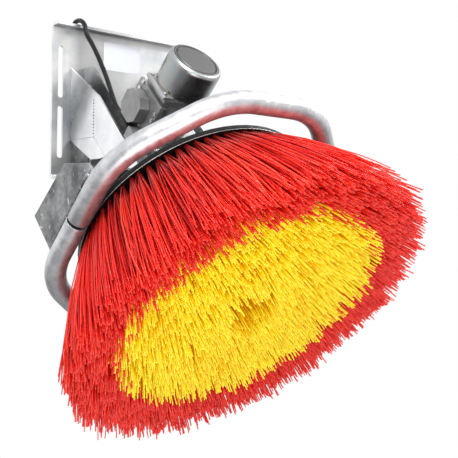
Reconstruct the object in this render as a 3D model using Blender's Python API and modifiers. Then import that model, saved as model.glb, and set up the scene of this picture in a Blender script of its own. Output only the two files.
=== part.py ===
"""Rotating cow brush: a wall console carries a worm gear motor, a steel guard ring
and a tilted brush disc with red and yellow bristles.

World frame: metres, +Z up, origin in the middle of the wall plate's back face,
+X along the wall, the room on the -Y side. The head frame below has its origin in
the middle of the disc's upper face, with its Z up the brush axis.
"""
import math

import bmesh
import bpy
from mathutils import Matrix, Vector

# Fit between pieces that touch
GAP = 0.0003
CUT_OVER = 0.004
MERGE = 0.00001

# Where the brush head sits
TILT = math.radians(45)
HEAD_OUT = 0.278
HEAD_DROP = 0.230

# Wall plate
PLATE_WIDTH = 0.302
PLATE_HEIGHT = 0.311
PLATE_SHEET = 0.0055
LIP_DEPTH = 0.025
LIP_RADIUS = 0.010
SLOT_WIDTH = 0.0115
SLOT_LENGTH = 0.104
SLOT_EDGE = 0.018
SLOT_BRIDGE = 0.016

# Console arms, one each side of the gearbox
ARM_WIDTH = 0.034
ARM_SHEET = 0.004
ARM_FRONT = 0.048
ARM_BACK = 0.017
ARM_TOP = 0.074
ARM_BOTTOM = 0.075
ARM_KNEE = 0.003
GUSSET_DROP = 0.043
GUSSET_TIP = 0.037
RIB_REACH = 0.062
RIB_HEIGHT = 0.046
RIB_SHEET = 0.004
BUFFER_HEIGHT = 0.030
BUFFER_LENGTH = 0.032

# Brush disc
DISC_RADIUS = 0.229
DISC_THICKNESS = 0.014
DISC_LIP = 0.004

# Guard ring and its carrier
TUBE_DIAMETER = 0.038
TUBE_WALL = 0.0026
RING_CLEARANCE = 0.003
RING_REACH = 0.028
RING_HALF_WIDTH = DISC_RADIUS + RING_CLEARANCE + TUBE_DIAMETER / 2
RING_HALF_LENGTH = RING_HALF_WIDTH + RING_REACH
RING_FLAT_WIDTH = 0.100
RING_FLAT_LENGTH = 0.140
RING_BEND = 0.150
RING_LEVEL = 0.012
RING_SPLIT = 0.006
CARRIER_LEVEL = 0.082
CARRIER_SHEET = 0.006
CARRIER_FRONT = 0.038
CARRIER_BACK = 0.090
CARRIER_HOLE = 0.034
SIDE_SHEET = 0.006
SIDE_FRONT = 0.090
SIDE_BACK = 0.098
SIDE_NOSE = 0.024
SIDE_RISE = 0.010

# Gear unit
SHAFT_LEVEL = 0.170
WORM_OFFSET = 0.035
HOUSING_HALF_WIDTH = 0.0757
HOUSING_HALF_LENGTH = 0.050
HOUSING_HALF_HEIGHT = 0.042
HOUSING_EDGE = 0.004
PEDESTAL_RADIUS = 0.045
COVER_RADIUS = 0.036
COVER_THICKNESS = 0.006
CHAMBER_RADIUS = 0.030
CHAMBER_HALF_HEIGHT = 0.021
WORM_BORE = 0.015
NECK_LENGTH = 0.108
NECK_INNER = 0.045
NECK_HALF_HEIGHT = 0.036
NECK_LIFT = 0.012
RIB_COUNT = 3
RIB_WIDTH = 0.004
RIB_RISE = 0.004
OUTPUT_RADIUS = 0.0125
OUTPUT_BEARING_RADIUS = 0.026
OUTPUT_BEARING_WIDTH = 0.015
COVER_BEARING_WIDTH = 0.012
SEAL_WIDTH = 0.006
WHEEL_WIDTH = 0.024
WHEEL_TEETH = 40
TOOTH_HEIGHT = 0.0022
TOOTH_TIP_SHARE = 0.12
TOOTH_ROOT_SHARE = 0.25
KEY_SIZE = 0.004
WORM_RADIUS = 0.010
WORM_SHAFT_RADIUS = 0.006
WORM_HALF_LENGTH = 0.020
WORM_BEARING_WIDTH = 0.009

# Motor
MOTOR_FLANGE_HALF_WIDTH = 0.057
MOTOR_FLANGE_HALF_HEIGHT = 0.037
MOTOR_FLANGE_THICKNESS = 0.0085
CAN_RADIUS = 0.051
CAN_LENGTH = 0.062
CAN_WALL = 0.002
CAN_SHOULDER = 0.0085
CAN_GROOVE = 0.0012
STATOR_THICKNESS = 0.009
STATOR_LENGTH = 0.040
ROTOR_RADIUS = 0.036
ROTOR_LENGTH = 0.036
MOTOR_CLEARANCE = 0.006

# Terminal box and cable entry
TERMINAL_FLANGE_THICKNESS = 0.0077
TERMINAL_FLANGE_LENGTH = 0.093
TERMINAL_FLANGE_HEIGHT = 0.092
TERMINAL_FLANGE_SHIFT = 0.003
BOX_DEPTH = 0.0217
BOX_SIZE = 0.058
BOX_CHAMFER = 0.0145
BOX_WALL = 0.003
BOX_LIFT = 0.007
ENTRY_DEPTH = 0.0225
ENTRY_WIDTH = 0.0228
ENTRY_HEIGHT = 0.028
GLAND_NUT_RADIUS = 0.0108
GLAND_NUT_HEIGHT = 0.013
GLAND_BOOT_LENGTH = 0.042
GLAND_BOOT_RADIUS = 0.0085

# Hub and bristles
HUB_RADIUS = 0.058
HUB_THICKNESS = 0.008
HUB_BOSS_RADIUS = 0.024
HUB_BOSS_HEIGHT = 0.078
HUB_BOLT_CIRCLE = 0.042
WASHER_RADIUS = 0.020
WASHER_THICKNESS = 0.003
BRISTLE_LENGTH = 0.222
BRISTLE_EDGE = 0.006
RED_TIP_RADIUS = 0.345
COLOUR_ROOT_RADIUS = 0.150
COLOUR_TIP_RADIUS = 0.250
CORE_ROOT_RADIUS = 0.062
CORE_TIP_RADIUS = 0.044
RED_TUFTS = 80
YELLOW_TUFTS = 20
FLUTE_DEPTH = 0.016
FLUTE_FADE_SHARE = 0.45
FLUTE_LEVELS = 3
TUFT_ROOT_SHARE = 0.2
TUFT_TIP_SHARE = 0.38
TIP_RINGS = 4
TIP_GROOVE = 0.007

# Screws
M5_HEAD = 0.004
M5_HEAD_HEIGHT = 0.0035
M5_RADIUS = 0.0025
M6_HEAD = 0.0055
M6_HEAD_HEIGHT = 0.004
M6_RADIUS = 0.003
M6_LENGTH = 0.007
M8_HEAD = 0.0075
M8_HEAD_HEIGHT = 0.0055
M8_RADIUS = 0.004
M8_LENGTH = 0.012

# Cable
CABLE_DIAMETER = 0.0093
CABLE_STEP = 2.0
LIP_CLEARANCE = 0.0025
LOOP_RADIUS = 0.034
LOOP_TURN = math.radians(60)
LOOP_SHIFT = 0.004
COIL_SHIFT = 0.014
climb_shares = (0.3, 0.6, 0.85)
COIL_TURNS_DIAMETER = 0.098
COIL_HALF_WIDTH = 0.014
COIL_HALF_THICKNESS = 0.0105
PLUG_RADIUS = 0.019
PLUG_LENGTH = 0.036
PLUG_NECK_LENGTH = 0.024
PLUG_NECK_RADIUS = 0.0075
PIN_RADIUS = 0.0024
PIN_LENGTH = 0.019
PIN_SPACING = 0.0095

# Facets round a circle
FINE = 64
MEDIUM = 32
COARSE = 20

STEEL = ("galvanised steel", (0.62, 0.65, 0.68, 1), 0.42, 0.9)
DULL_STEEL = ("dull galvanised steel", (0.33, 0.34, 0.35, 1), 0.6, 0.7)
BRIGHT_STEEL = ("bright zinc", (0.75, 0.75, 0.74, 1), 0.25, 1.0)
CAST = ("die-cast aluminium", (0.42, 0.42, 0.42, 1), 0.5, 0.6)
BLACK = ("black plastic", (0.015, 0.015, 0.016, 1), 0.5, 0.0)
RUBBER = ("black rubber", (0.012, 0.012, 0.012, 1), 0.75, 0.0)
BRONZE = ("bronze", (0.5, 0.32, 0.12, 1), 0.4, 0.9)
COPPER = ("copper winding", (0.5, 0.2, 0.08, 1), 0.45, 0.8)
RED = ("red nylon", (0.72, 0.02, 0.015, 1), 0.4, 0.0)
YELLOW = ("yellow nylon", (0.95, 0.68, 0.01, 1), 0.4, 0.0)


def clear_scene():
    for obj in list(bpy.data.objects):
        bpy.data.objects.remove(obj, do_unlink=True)


clear_scene()
scene = bpy.context.scene
parts = bpy.data.collections.new("rotating_cow_brush")
cutters = bpy.data.collections.new("cutters")
scene.collection.children.link(parts)
scene.collection.children.link(cutters)

# The head frame: Z points back up the brush axis, Y down along the tilted disc
head = bpy.data.objects.new("head_frame", None)
head.location = (0, -HEAD_OUT, -HEAD_DROP)
head.rotation_euler = (-TILT, 0, 0)
parts.objects.link(head)

# Axis frames whose third axis is the direction a shape is made along
ALONG_X = Matrix(((0, 0, 1, 0), (1, 0, 0, 0), (0, 1, 0, 0), (0, 0, 0, 1)))
ALONG_Y = Matrix(((0, 1, 0, 0), (0, 0, 1, 0), (1, 0, 0, 0), (0, 0, 0, 1)))
ALONG_Z = Matrix.Identity(4)


def give_material(obj, look):
    label, colour, roughness, metallic = look
    material = bpy.data.materials.new(obj.name + " " + label)
    material.use_nodes = True
    shader = material.node_tree.nodes["Principled BSDF"]
    shader.inputs["Base Color"].default_value = colour
    shader.inputs["Roughness"].default_value = roughness
    shader.inputs["Metallic"].default_value = metallic
    material.diffuse_color = colour
    obj.data.materials.clear()
    obj.data.materials.append(material)


def put(obj, look, in_head):
    """Puts a finished object among the parts, or among the cutters where it has no look."""
    for collection in list(obj.users_collection):
        collection.objects.unlink(obj)
    if look is None:
        cutters.objects.link(obj)
        obj.hide_render = True
        obj.display_type = "WIRE"
    else:
        parts.objects.link(obj)
        give_material(obj, look)
    if in_head:
        obj.parent = head
    return obj


def real_mesh(source, name):
    """A mesh object with the evaluated shape of source, which is removed."""
    bpy.context.view_layer.update()
    graph = bpy.context.evaluated_depsgraph_get()
    data = bpy.data.meshes.new_from_object(source.evaluated_get(graph))
    work = bmesh.new()
    work.from_mesh(data)
    bmesh.ops.remove_doubles(work, verts=work.verts, dist=MERGE)
    bmesh.ops.recalc_face_normals(work, faces=work.faces)
    work.to_mesh(data)
    work.free()
    made = bpy.data.objects.new(name, data)
    made.matrix_world = source.matrix_world
    bpy.data.objects.remove(source, do_unlink=True)
    return made


def round_off(obj):
    obj.data.shade_smooth()
    obj.data.set_sharp_from_angle(angle=math.radians(35))


def prism(name, outline, depth, frame, place, look, in_head=False):
    """A flat outline, made thick along the frame's third axis, centred on its place."""
    curve = bpy.data.curves.new(name, "CURVE")
    curve.dimensions = "2D"
    curve.fill_mode = "BOTH"
    curve.extrude = depth / 2
    line = curve.splines.new("POLY")
    line.points.add(len(outline) - 1)
    for point, (u, v) in zip(line.points, outline):
        point.co = (u, v, 0, 1)
    line.use_cyclic_u = True
    source = bpy.data.objects.new(name + "_outline", curve)
    scene.collection.objects.link(source)
    obj = real_mesh(source, name)
    obj.matrix_world = Matrix.Translation(place) @ frame
    return put(obj, look, in_head)


def box(name, low, high, look, in_head=False, edge=0):
    """A block between two corners, with its edges broken where edge is given."""
    size = [b - a for a, b in zip(low, high)]
    middle = [(a + b) / 2 for a, b in zip(low, high)]
    data = bpy.data.meshes.new(name)
    work = bmesh.new()
    bmesh.ops.create_cube(work, size=1)
    bmesh.ops.scale(work, vec=size, verts=work.verts)
    work.to_mesh(data)
    work.free()
    obj = bpy.data.objects.new(name, data)
    obj.location = middle
    put(obj, look, in_head)
    if edge:
        bevel = obj.modifiers.new("edge", "BEVEL")
        bevel.width = min(edge, min(size) / 3)
        bevel.segments = 2
    return obj


def cylinder(name, radius, start, end, frame, place, look, in_head=False, sides=MEDIUM, turn=0):
    """A round bar from start to end along the frame's third axis."""
    data = bpy.data.meshes.new(name)
    work = bmesh.new()
    lift = Matrix.Translation((0, 0, (start + end) / 2)) @ Matrix.Rotation(turn, 4, "Z")
    bmesh.ops.create_cone(
        work,
        cap_ends=True,
        segments=sides,
        radius1=radius,
        radius2=radius,
        depth=end - start,
        matrix=lift,
    )
    work.to_mesh(data)
    work.free()
    obj = bpy.data.objects.new(name, data)
    obj.matrix_world = Matrix.Translation(place) @ frame
    round_off(obj)
    return put(obj, look, in_head)


def turned(name, profile, frame, place, look, in_head=False, steps=MEDIUM, ring=False):
    """A profile of (radius, height) points, top to bottom, turned about the frame's third axis."""
    data = bpy.data.meshes.new(name)
    count = len(profile)
    edges = [(i, i + 1) for i in range(count - 1)]
    if ring:
        edges.append((count - 1, 0))
    data.from_pydata([(r, 0, z) for r, z in profile], edges, [])
    source = bpy.data.objects.new(name + "_profile", data)
    scene.collection.objects.link(source)
    screw = source.modifiers.new("turn", "SCREW")
    screw.axis = "Z"
    screw.steps = steps
    screw.render_steps = steps
    screw.use_merge_vertices = True
    screw.merge_threshold = MERGE
    obj = real_mesh(source, name)
    obj.matrix_world = Matrix.Translation(place) @ frame
    round_off(obj)
    return put(obj, look, in_head)


def sleeve(name, inner, outer, start, end, frame, place, look, in_head=True, steps=MEDIUM):
    """A plain ring with a through bore."""
    loop = [(outer, end), (outer, start), (inner, start), (inner, end)]
    return turned(name, loop, frame, place, look, in_head, steps, ring=True)


def cut(obj, cutter):
    boolean = obj.modifiers.new("cut " + cutter.name, "BOOLEAN")
    boolean.operation = "DIFFERENCE"
    boolean.object = cutter
    return obj


def unite(obj, extra):
    boolean = obj.modifiers.new("join " + extra.name, "BOOLEAN")
    boolean.operation = "UNION"
    boolean.object = extra
    return obj


def arc(centre, radius, start, end, count):
    """Points on an arc, both ends included, with the angles in degrees."""
    turns = [math.radians(start + (end - start) * i / count) for i in range(count + 1)]
    return [(centre[0] + radius * math.cos(t), centre[1] + radius * math.sin(t)) for t in turns]


def sweep(name, points, diameter, look, resolution, in_head=False, wall=0):
    """A round bar or tube along a line of points."""
    curve = bpy.data.curves.new(name, "CURVE")
    curve.dimensions = "3D"
    curve.bevel_depth = diameter / 2
    curve.bevel_resolution = resolution
    curve.use_fill_caps = not wall
    curve.render_resolution_u = 0
    line = curve.splines.new("POLY")
    line.points.add(len(points) - 1)
    for point, co in zip(line.points, points):
        point.co = (*co, 1)
    if not wall:
        return put(bpy.data.objects.new(name, curve), look, in_head)
    source = bpy.data.objects.new(name + "_path", curve)
    scene.collection.objects.link(source)
    obj = real_mesh(source, name)
    solidify = obj.modifiers.new("tube wall", "SOLIDIFY")
    solidify.thickness = wall
    solidify.offset = -1
    round_off(obj)
    return put(obj, look, in_head)


def rounded_path(corners, radius, count):
    """A path through corners whose inner corners are rounded to one radius."""
    path = [Vector(corners[0])]
    for before, corner, after in zip(corners, corners[1:], corners[2:]):
        corner = Vector(corner)
        back = (Vector(before) - corner).normalized()
        on = (Vector(after) - corner).normalized()
        half = back.angle(on) / 2
        reach = radius / math.tan(half)
        centre = corner + (back + on).normalized() * radius / math.sin(half)
        first = corner + back * reach - centre
        last = corner + on * reach - centre
        for i in range(count + 1):
            path.append(centre + first.slerp(last, i / count) * radius)
    path.append(Vector(corners[-1]))
    return path


def smooth_line(route, step):
    """Evenly spaced points on a smooth curve through the route's points."""
    route = [Vector(p) for p in route]
    ends = [2 * route[0] - route[1]] + route + [2 * route[-1] - route[-2]]
    fine = []
    for a, b, c, d in zip(ends, ends[1:], ends[2:], ends[3:]):
        for i in range(24):
            t = i / 24
            fine.append(
                0.5
                * (
                    2 * b
                    + (c - a) * t
                    + (2 * a - 5 * b + 4 * c - d) * t**2
                    + (3 * b - a - 3 * c + d) * t**3
                )
            )
    fine.append(route[-1])
    length = sum((q - p).length for p, q in zip(fine, fine[1:]))
    count = max(2, round(length / step))
    want = [length * i / count for i in range(count + 1)]
    line = []
    run = 0
    for p, q in zip(fine, fine[1:]):
        piece = (q - p).length
        while len(line) < len(want) and want[len(line)] <= run + piece + MERGE:
            line.append(p.lerp(q, min(1, (want[len(line)] - run) / piece)))
        run += piece
    return line


def screw(name, place, frame, size, hosts, look=BRIGHT_STEEL, in_head=True, through=0):
    """A hexagon screw whose head rests on place, and its hole in each host."""
    head_radius, head_height, radius, length = size
    length = through or length
    obj = cylinder(name, head_radius, GAP, head_height, frame, place, look, in_head, 6)
    shank = cylinder(name + "_shank", radius, -length, head_height / 2, frame, place, None, in_head, 12)
    unite(obj, shank)
    hole = cylinder(
        name + "_hole", radius + GAP, -length - GAP, head_height, frame, place, None, in_head, 12
    )
    for host in hosts:
        cut(host, hole)
    return obj


M8 = (M8_HEAD, M8_HEAD_HEIGHT, M8_RADIUS, M8_LENGTH)
MINUS_X = ALONG_X @ Matrix.Rotation(math.pi, 4, "X")
MINUS_Y = ALONG_Y @ Matrix.Rotation(math.pi, 4, "X")
MINUS_Z = ALONG_Z @ Matrix.Rotation(math.pi, 4, "X")


def on_head(across, along):
    """World (y, z) of a point across m (front-up) and along n (toward the tips)."""
    return (
        -HEAD_OUT - across * math.cos(TILT) - along * math.sin(TILT),
        -HEAD_DROP + across * math.sin(TILT) - along * math.cos(TILT),
    )


def along_at_height(across, height):
    """How far along n the line at across reaches a world height."""
    return (-HEAD_DROP + across * math.sin(TILT) - height) / math.cos(TILT)


# Wall plate: a sheet with a lip bent forward along its top and its bottom edge
def wall_plate():
    half = PLATE_HEIGHT / 2
    inner = max(LIP_RADIUS - PLATE_SHEET, GAP)
    top_outer = arc((-LIP_RADIUS, half - LIP_RADIUS), LIP_RADIUS, 0, 90, 5)
    top_inner = arc((-LIP_RADIUS, half - LIP_RADIUS), inner, 90, 0, 5)
    upper = top_outer + [(-LIP_DEPTH, half), (-LIP_DEPTH, half - PLATE_SHEET)] + top_inner
    lower = [(y, -z) for y, z in reversed(upper)]
    plate = prism("wall_plate", upper + lower, PLATE_WIDTH, ALONG_X, (0, 0, 0), STEEL)
    for side in (-1, 1):
        for level in (-1, 1):
            x = side * (PLATE_WIDTH / 2 - SLOT_EDGE)
            z = level * (SLOT_BRIDGE + SLOT_LENGTH) / 2
            end = (SLOT_LENGTH - SLOT_WIDTH) / 2
            radius = SLOT_WIDTH / 2
            shape = arc((end, 0), radius, -90, 90, 6) + arc((-end, 0), radius, 90, 270, 6)
            slot = prism("slot", shape, PLATE_SHEET * 3, ALONG_Y, (x, -PLATE_SHEET / 2, z), None)
            cut(plate, slot)
    return plate


wall_plate()
PLATE_FACE = -PLATE_SHEET - GAP
ARM_INNER = HOUSING_HALF_WIDTH + GAP
ARM_OUTER = ARM_INNER + ARM_WIDTH
CARRIER_TOP = CARRIER_LEVEL + CARRIER_SHEET


def console_side(side, word):
    """One arm with its gusset, its rib and its buffer."""
    end = -CARRIER_TOP - GAP
    top = along_at_height(ARM_FRONT, ARM_TOP)
    knee = along_at_height(ARM_FRONT, ARM_KNEE)
    floor = along_at_height(-ARM_BACK, -ARM_BOTTOM)
    middle = side * (ARM_INNER + ARM_OUTER) / 2
    outline = [
        (PLATE_FACE, ARM_TOP),
        on_head(ARM_FRONT, top),
        on_head(ARM_FRONT, end),
        on_head(-ARM_BACK, end),
        on_head(-ARM_BACK, floor),
        (PLATE_FACE, -ARM_BOTTOM),
    ]
    arm = prism("console_arm_" + word, outline, ARM_WIDTH, ALONG_X, (middle, 0, 0), STEEL)
    # The channel is open to the front and to the wall
    web = -ARM_BACK + ARM_SHEET
    floor_in = along_at_height(web, -ARM_BOTTOM + ARM_SHEET)
    inside = [
        (CUT_OVER, ARM_TOP + ARM_FRONT),
        on_head(ARM_FRONT + ARM_BACK, top - ARM_FRONT),
        on_head(ARM_FRONT + ARM_BACK, end + CUT_OVER),
        on_head(web, end + CUT_OVER),
        on_head(web, floor_in),
        (CUT_OVER, -ARM_BOTTOM + ARM_SHEET),
    ]
    room = ARM_WIDTH - 2 * ARM_SHEET
    cut(arm, prism("channel_" + word, inside, room, ALONG_X, (middle, 0, 0), None))
    # The outer cheek is cut off along a line from the wall to the arm's knee
    cheek = side * (ARM_OUTER - ARM_SHEET / 2 + CUT_OVER / 2)
    knee_y, knee_z = on_head(ARM_FRONT, knee)
    slope = (ARM_TOP - knee_z) / (PLATE_FACE - knee_y)
    trim = [
        (CUT_OVER, ARM_TOP + slope * CUT_OVER),
        (CUT_OVER, ARM_TOP + ARM_FRONT),
        (knee_y - ARM_FRONT, ARM_TOP + ARM_FRONT),
        (knee_y - CUT_OVER, knee_z - slope * CUT_OVER),
        (knee_y, knee_z),
    ]
    wide = ARM_SHEET + CUT_OVER
    cut(arm, prism("trim_" + word, trim, wide, ALONG_X, (cheek, 0, 0), None))

    drop = -ARM_BOTTOM - GAP
    low_start = on_head(-ARM_BACK - GAP * 2, floor)
    low_end = on_head(-ARM_BACK - GAP * 2, floor + GUSSET_DROP / math.cos(TILT) * math.sin(TILT) * 1.3)
    gusset = [
        (PLATE_FACE, drop),
        (low_start[0], drop),
        low_end,
        (low_end[0] + GUSSET_TIP / 2, -ARM_BOTTOM - GUSSET_DROP),
        (low_end[0] + GUSSET_TIP * 1.4, -ARM_BOTTOM - GUSSET_DROP),
    ]
    cheek = side * (ARM_OUTER - ARM_SHEET / 2)
    prism("lower_gusset_" + word, gusset, ARM_SHEET, ALONG_X, (cheek, 0, 0), STEEL)
    rib = ARM_OUTER - ARM_SHEET - GAP - RIB_SHEET
    low = (min(side * rib, side * (rib + RIB_SHEET)), PLATE_FACE - RIB_REACH, drop - RIB_HEIGHT)
    high = (max(side * rib, side * (rib + RIB_SHEET)), PLATE_FACE, drop)
    box("wall_rib_" + word, low, high, DULL_STEEL)
    back = low_end[0] + GUSSET_TIP / 2
    under = -ARM_BOTTOM - GUSSET_DROP - GAP
    inner = side * (ARM_OUTER - ARM_WIDTH / 2)
    outer = side * ARM_OUTER
    low = (min(inner, outer), back, under - BUFFER_HEIGHT)
    high = (max(inner, outer), back + BUFFER_LENGTH, under)
    box("rubber_buffer_" + word, low, high, RUBBER, edge=ARM_SHEET / 2)


console_side(-1, "left")
console_side(1, "right")


# Guard ring: two bent half bows whose ends face each other over a split at the sides
def guard_bow(name, front):
    way = -1 if front else 1
    start = way * RING_SPLIT / 2
    corners = [
        (-RING_HALF_WIDTH, start, -RING_LEVEL),
        (-RING_HALF_WIDTH, way * RING_FLAT_LENGTH, -RING_LEVEL),
        (-RING_FLAT_WIDTH, way * RING_HALF_LENGTH, -RING_LEVEL),
        (RING_FLAT_WIDTH, way * RING_HALF_LENGTH, -RING_LEVEL),
        (RING_HALF_WIDTH, way * RING_FLAT_LENGTH, -RING_LEVEL),
        (RING_HALF_WIDTH, start, -RING_LEVEL),
    ]
    path = rounded_path(corners, RING_BEND, 5)
    return sweep(name, path, TUBE_DIAMETER, STEEL, 4, in_head=True, wall=TUBE_WALL)


guard_bow("guard_bow_front", True)
guard_bow("guard_bow_rear", False)

TUBE_TOP = TUBE_DIAMETER / 2 - RING_LEVEL + GAP
SIDE_INNER = RING_HALF_WIDTH - SIDE_SHEET / 2


def side_plate(side, word):
    outline = [
        (-SIDE_FRONT, TUBE_TOP),
        (-SIDE_FRONT, TUBE_TOP + SIDE_NOSE),
        (-CARRIER_FRONT, CARRIER_TOP),
        (SIDE_BACK, CARRIER_TOP + SIDE_RISE),
        (SIDE_BACK, TUBE_TOP),
    ]
    place = (side * RING_HALF_WIDTH, 0, 0)
    prism("guard_plate_" + word, outline, SIDE_SHEET, ALONG_X, place, DULL_STEEL, in_head=True)


side_plate(-1, "left")
side_plate(1, "right")

carrier = box(
    "carrier_plate",
    (-SIDE_INNER + GAP, -CARRIER_FRONT, CARRIER_LEVEL),
    (SIDE_INNER - GAP, CARRIER_BACK, CARRIER_TOP),
    DULL_STEEL,
    in_head=True,
)
cut(
    carrier,
    cylinder(
        "carrier_hole", CARRIER_HOLE, 0, CARRIER_TOP + CUT_OVER, ALONG_Z, (0, 0, 0), None, True
    ),
)

# Gear housing: a main block over the wheel, a foot on the carrier, a neck to the motor
HOUSING_LOW = SHAFT_LEVEL - HOUSING_HALF_HEIGHT
HOUSING_HIGH = SHAFT_LEVEL + HOUSING_HALF_HEIGHT
FOOT_LOW = CARRIER_TOP + GAP
NECK_END = -HOUSING_HALF_LENGTH - NECK_LENGTH
NECK_LOW = SHAFT_LEVEL - NECK_HALF_HEIGHT + NECK_LIFT
NECK_HIGH = SHAFT_LEVEL + NECK_HALF_HEIGHT + NECK_LIFT
NECK_LEFT = -WORM_OFFSET - NECK_INNER + HOUSING_EDGE
NECK_RIGHT = -WORM_OFFSET + NECK_INNER
housing = box(
    "gear_housing",
    (-HOUSING_HALF_WIDTH, -HOUSING_HALF_LENGTH, HOUSING_LOW),
    (HOUSING_HALF_WIDTH, HOUSING_HALF_LENGTH, HOUSING_HIGH),
    CAST,
    in_head=True,
    edge=HOUSING_EDGE,
)
neck = box(
    "housing_neck",
    (NECK_LEFT, NECK_END, NECK_LOW),
    (NECK_RIGHT, -HOUSING_HALF_LENGTH + CUT_OVER * 2, NECK_HIGH),
    None,
    in_head=True,
    edge=HOUSING_EDGE,
)
unite(housing, neck)
foot = cylinder(
    "housing_foot", PEDESTAL_RADIUS, FOOT_LOW, HOUSING_LOW + CUT_OVER, ALONG_Z, (0, 0, 0), None, True
)
unite(housing, foot)
for index in range(RIB_COUNT):
    share = (index + 1) / (RIB_COUNT + 1)
    at = -HOUSING_HALF_LENGTH - NECK_LENGTH * share
    rib = box(
        "housing_rib",
        (NECK_LEFT + HOUSING_EDGE * 2, at - RIB_WIDTH / 2, NECK_HIGH - CUT_OVER),
        (NECK_RIGHT - HOUSING_EDGE * 2, at + RIB_WIDTH / 2, NECK_HIGH + RIB_RISE),
        None,
        in_head=True,
    )
    unite(housing, rib)
CHAMBER_LOW = SHAFT_LEVEL - CHAMBER_HALF_HEIGHT
chamber = cylinder(
    "wheel_chamber",
    CHAMBER_RADIUS,
    CHAMBER_LOW,
    HOUSING_HIGH + CUT_OVER,
    ALONG_Z,
    (0, 0, 0),
    None,
    True,
)
cut(housing, chamber)
bore = cylinder(
    "output_bore",
    OUTPUT_BEARING_RADIUS + GAP,
    FOOT_LOW - CUT_OVER,
    CHAMBER_LOW + CUT_OVER,
    ALONG_Z,
    (0, 0, 0),
    None,
    True,
)
cut(housing, bore)
WORM_PLACE = (-WORM_OFFSET, 0, SHAFT_LEVEL)
WORM_END = WORM_HALF_LENGTH + 2 * GAP + WORM_BEARING_WIDTH
worm_bore = cylinder(
    "worm_bore", WORM_BORE, NECK_END - CUT_OVER, WORM_END + GAP, ALONG_Y, WORM_PLACE, None, True
)
cut(housing, worm_bore)
COVER_LOW = HOUSING_HIGH + GAP
gear_cover = cylinder(
    "gear_cover", COVER_RADIUS, COVER_LOW, COVER_LOW + COVER_THICKNESS, ALONG_Z, (0, 0, 0), CAST, True
)
for index in range(4):
    turn = math.radians(45 + 90 * index)
    reach = COVER_RADIUS - (COVER_RADIUS - CHAMBER_RADIUS) / 2
    place = (reach * math.cos(turn), reach * math.sin(turn), COVER_LOW + COVER_THICKNESS)
    small = (M6_HEAD / 2, M6_HEAD_HEIGHT / 2, M6_RADIUS / 2, COVER_THICKNESS + M6_LENGTH)
    screw("cover_screw_%d" % (index + 1), place, ALONG_Z, small, [gear_cover, housing])

# Output shaft, its bearings and seal, the worm wheel and its key
SHAFT_FOOT = -DISC_THICKNESS + WASHER_THICKNESS
SHAFT_HEAD = COVER_LOW - GAP
shaft = turned(
    "output_shaft",
    [
        (0, SHAFT_HEAD),
        (OUTPUT_RADIUS, SHAFT_HEAD),
        (OUTPUT_RADIUS, SHAFT_FOOT),
        (0, SHAFT_FOOT),
    ],
    ALONG_Z,
    (0, 0, 0),
    BRIGHT_STEEL,
    True,
    MEDIUM,
)
SEAL_LOW = FOOT_LOW + GAP
sleeve(
    "shaft_seal",
    OUTPUT_RADIUS + GAP,
    OUTPUT_BEARING_RADIUS,
    SEAL_LOW,
    SEAL_LOW + SEAL_WIDTH,
    ALONG_Z,
    (0, 0, 0),
    RUBBER,
)
BEARING_LOW = SEAL_LOW + SEAL_WIDTH + GAP
sleeve(
    "output_bearing_lower",
    OUTPUT_RADIUS + GAP,
    OUTPUT_BEARING_RADIUS,
    BEARING_LOW,
    BEARING_LOW + OUTPUT_BEARING_WIDTH,
    ALONG_Z,
    (0, 0, 0),
    BRIGHT_STEEL,
)
sleeve(
    "output_bearing_upper",
    OUTPUT_RADIUS + GAP,
    CHAMBER_RADIUS - GAP,
    COVER_LOW - GAP - COVER_BEARING_WIDTH,
    COVER_LOW - GAP,
    ALONG_Z,
    (0, 0, 0),
    BRIGHT_STEEL,
)
# The teeth reach three quarters of their height into each other
WHEEL_RADIUS = WORM_OFFSET - WORM_RADIUS + TOOTH_HEIGHT * 3 / 4
TOOTH_PITCH = 2 * math.pi * (WHEEL_RADIUS - TOOTH_HEIGHT / 2) / WHEEL_TEETH


def worm_wheel():
    """A wheel of straight teeth with a gap turned to the worm."""
    outline = []
    step = 2 * math.pi / WHEEL_TEETH
    tooth = (
        (-TOOTH_ROOT_SHARE, TOOTH_HEIGHT),
        (-TOOTH_TIP_SHARE, 0),
        (TOOTH_TIP_SHARE, 0),
        (TOOTH_ROOT_SHARE, TOOTH_HEIGHT),
    )
    for index in range(WHEEL_TEETH):
        centre = math.pi + step * (index + 0.5)
        for share, drop in tooth:
            turn = centre + step * share
            radius = WHEEL_RADIUS - drop
            outline.append((radius * math.cos(turn), radius * math.sin(turn)))
    return prism(
        "worm_wheel", outline, WHEEL_WIDTH, ALONG_Z, (0, 0, SHAFT_LEVEL), BRONZE, in_head=True
    )


wheel = worm_wheel()
cut(
    wheel,
    cylinder(
        "wheel_bore",
        OUTPUT_RADIUS + GAP,
        -WHEEL_WIDTH,
        WHEEL_WIDTH,
        ALONG_Z,
        (0, 0, SHAFT_LEVEL),
        None,
        True,
    ),
)
key_low = (-KEY_SIZE / 2, OUTPUT_RADIUS - KEY_SIZE / 2, SHAFT_LEVEL - WHEEL_WIDTH / 2)
key_high = (KEY_SIZE / 2, OUTPUT_RADIUS + KEY_SIZE / 2, SHAFT_LEVEL + WHEEL_WIDTH / 2)
box("wheel_key", key_low, key_high, BRIGHT_STEEL, in_head=True)
keyway = box(
    "keyway",
    [v - GAP for v in key_low[:2]] + [key_low[2] - GAP],
    [v + GAP for v in key_high[:2]] + [key_high[2] + GAP],
    None,
    in_head=True,
)
cut(shaft, keyway)
cut(wheel, keyway)

# Worm: grooved between its two bearings, with a plain shaft into the motor
MOTOR_BASE = NECK_END - GAP - MOTOR_FLANGE_THICKNESS
CAN_END = MOTOR_BASE - GAP - CAN_LENGTH
ROTOR_START = MOTOR_BASE - GAP - MOTOR_CLEARANCE
ROTOR_END = ROTOR_START - ROTOR_LENGTH


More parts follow.
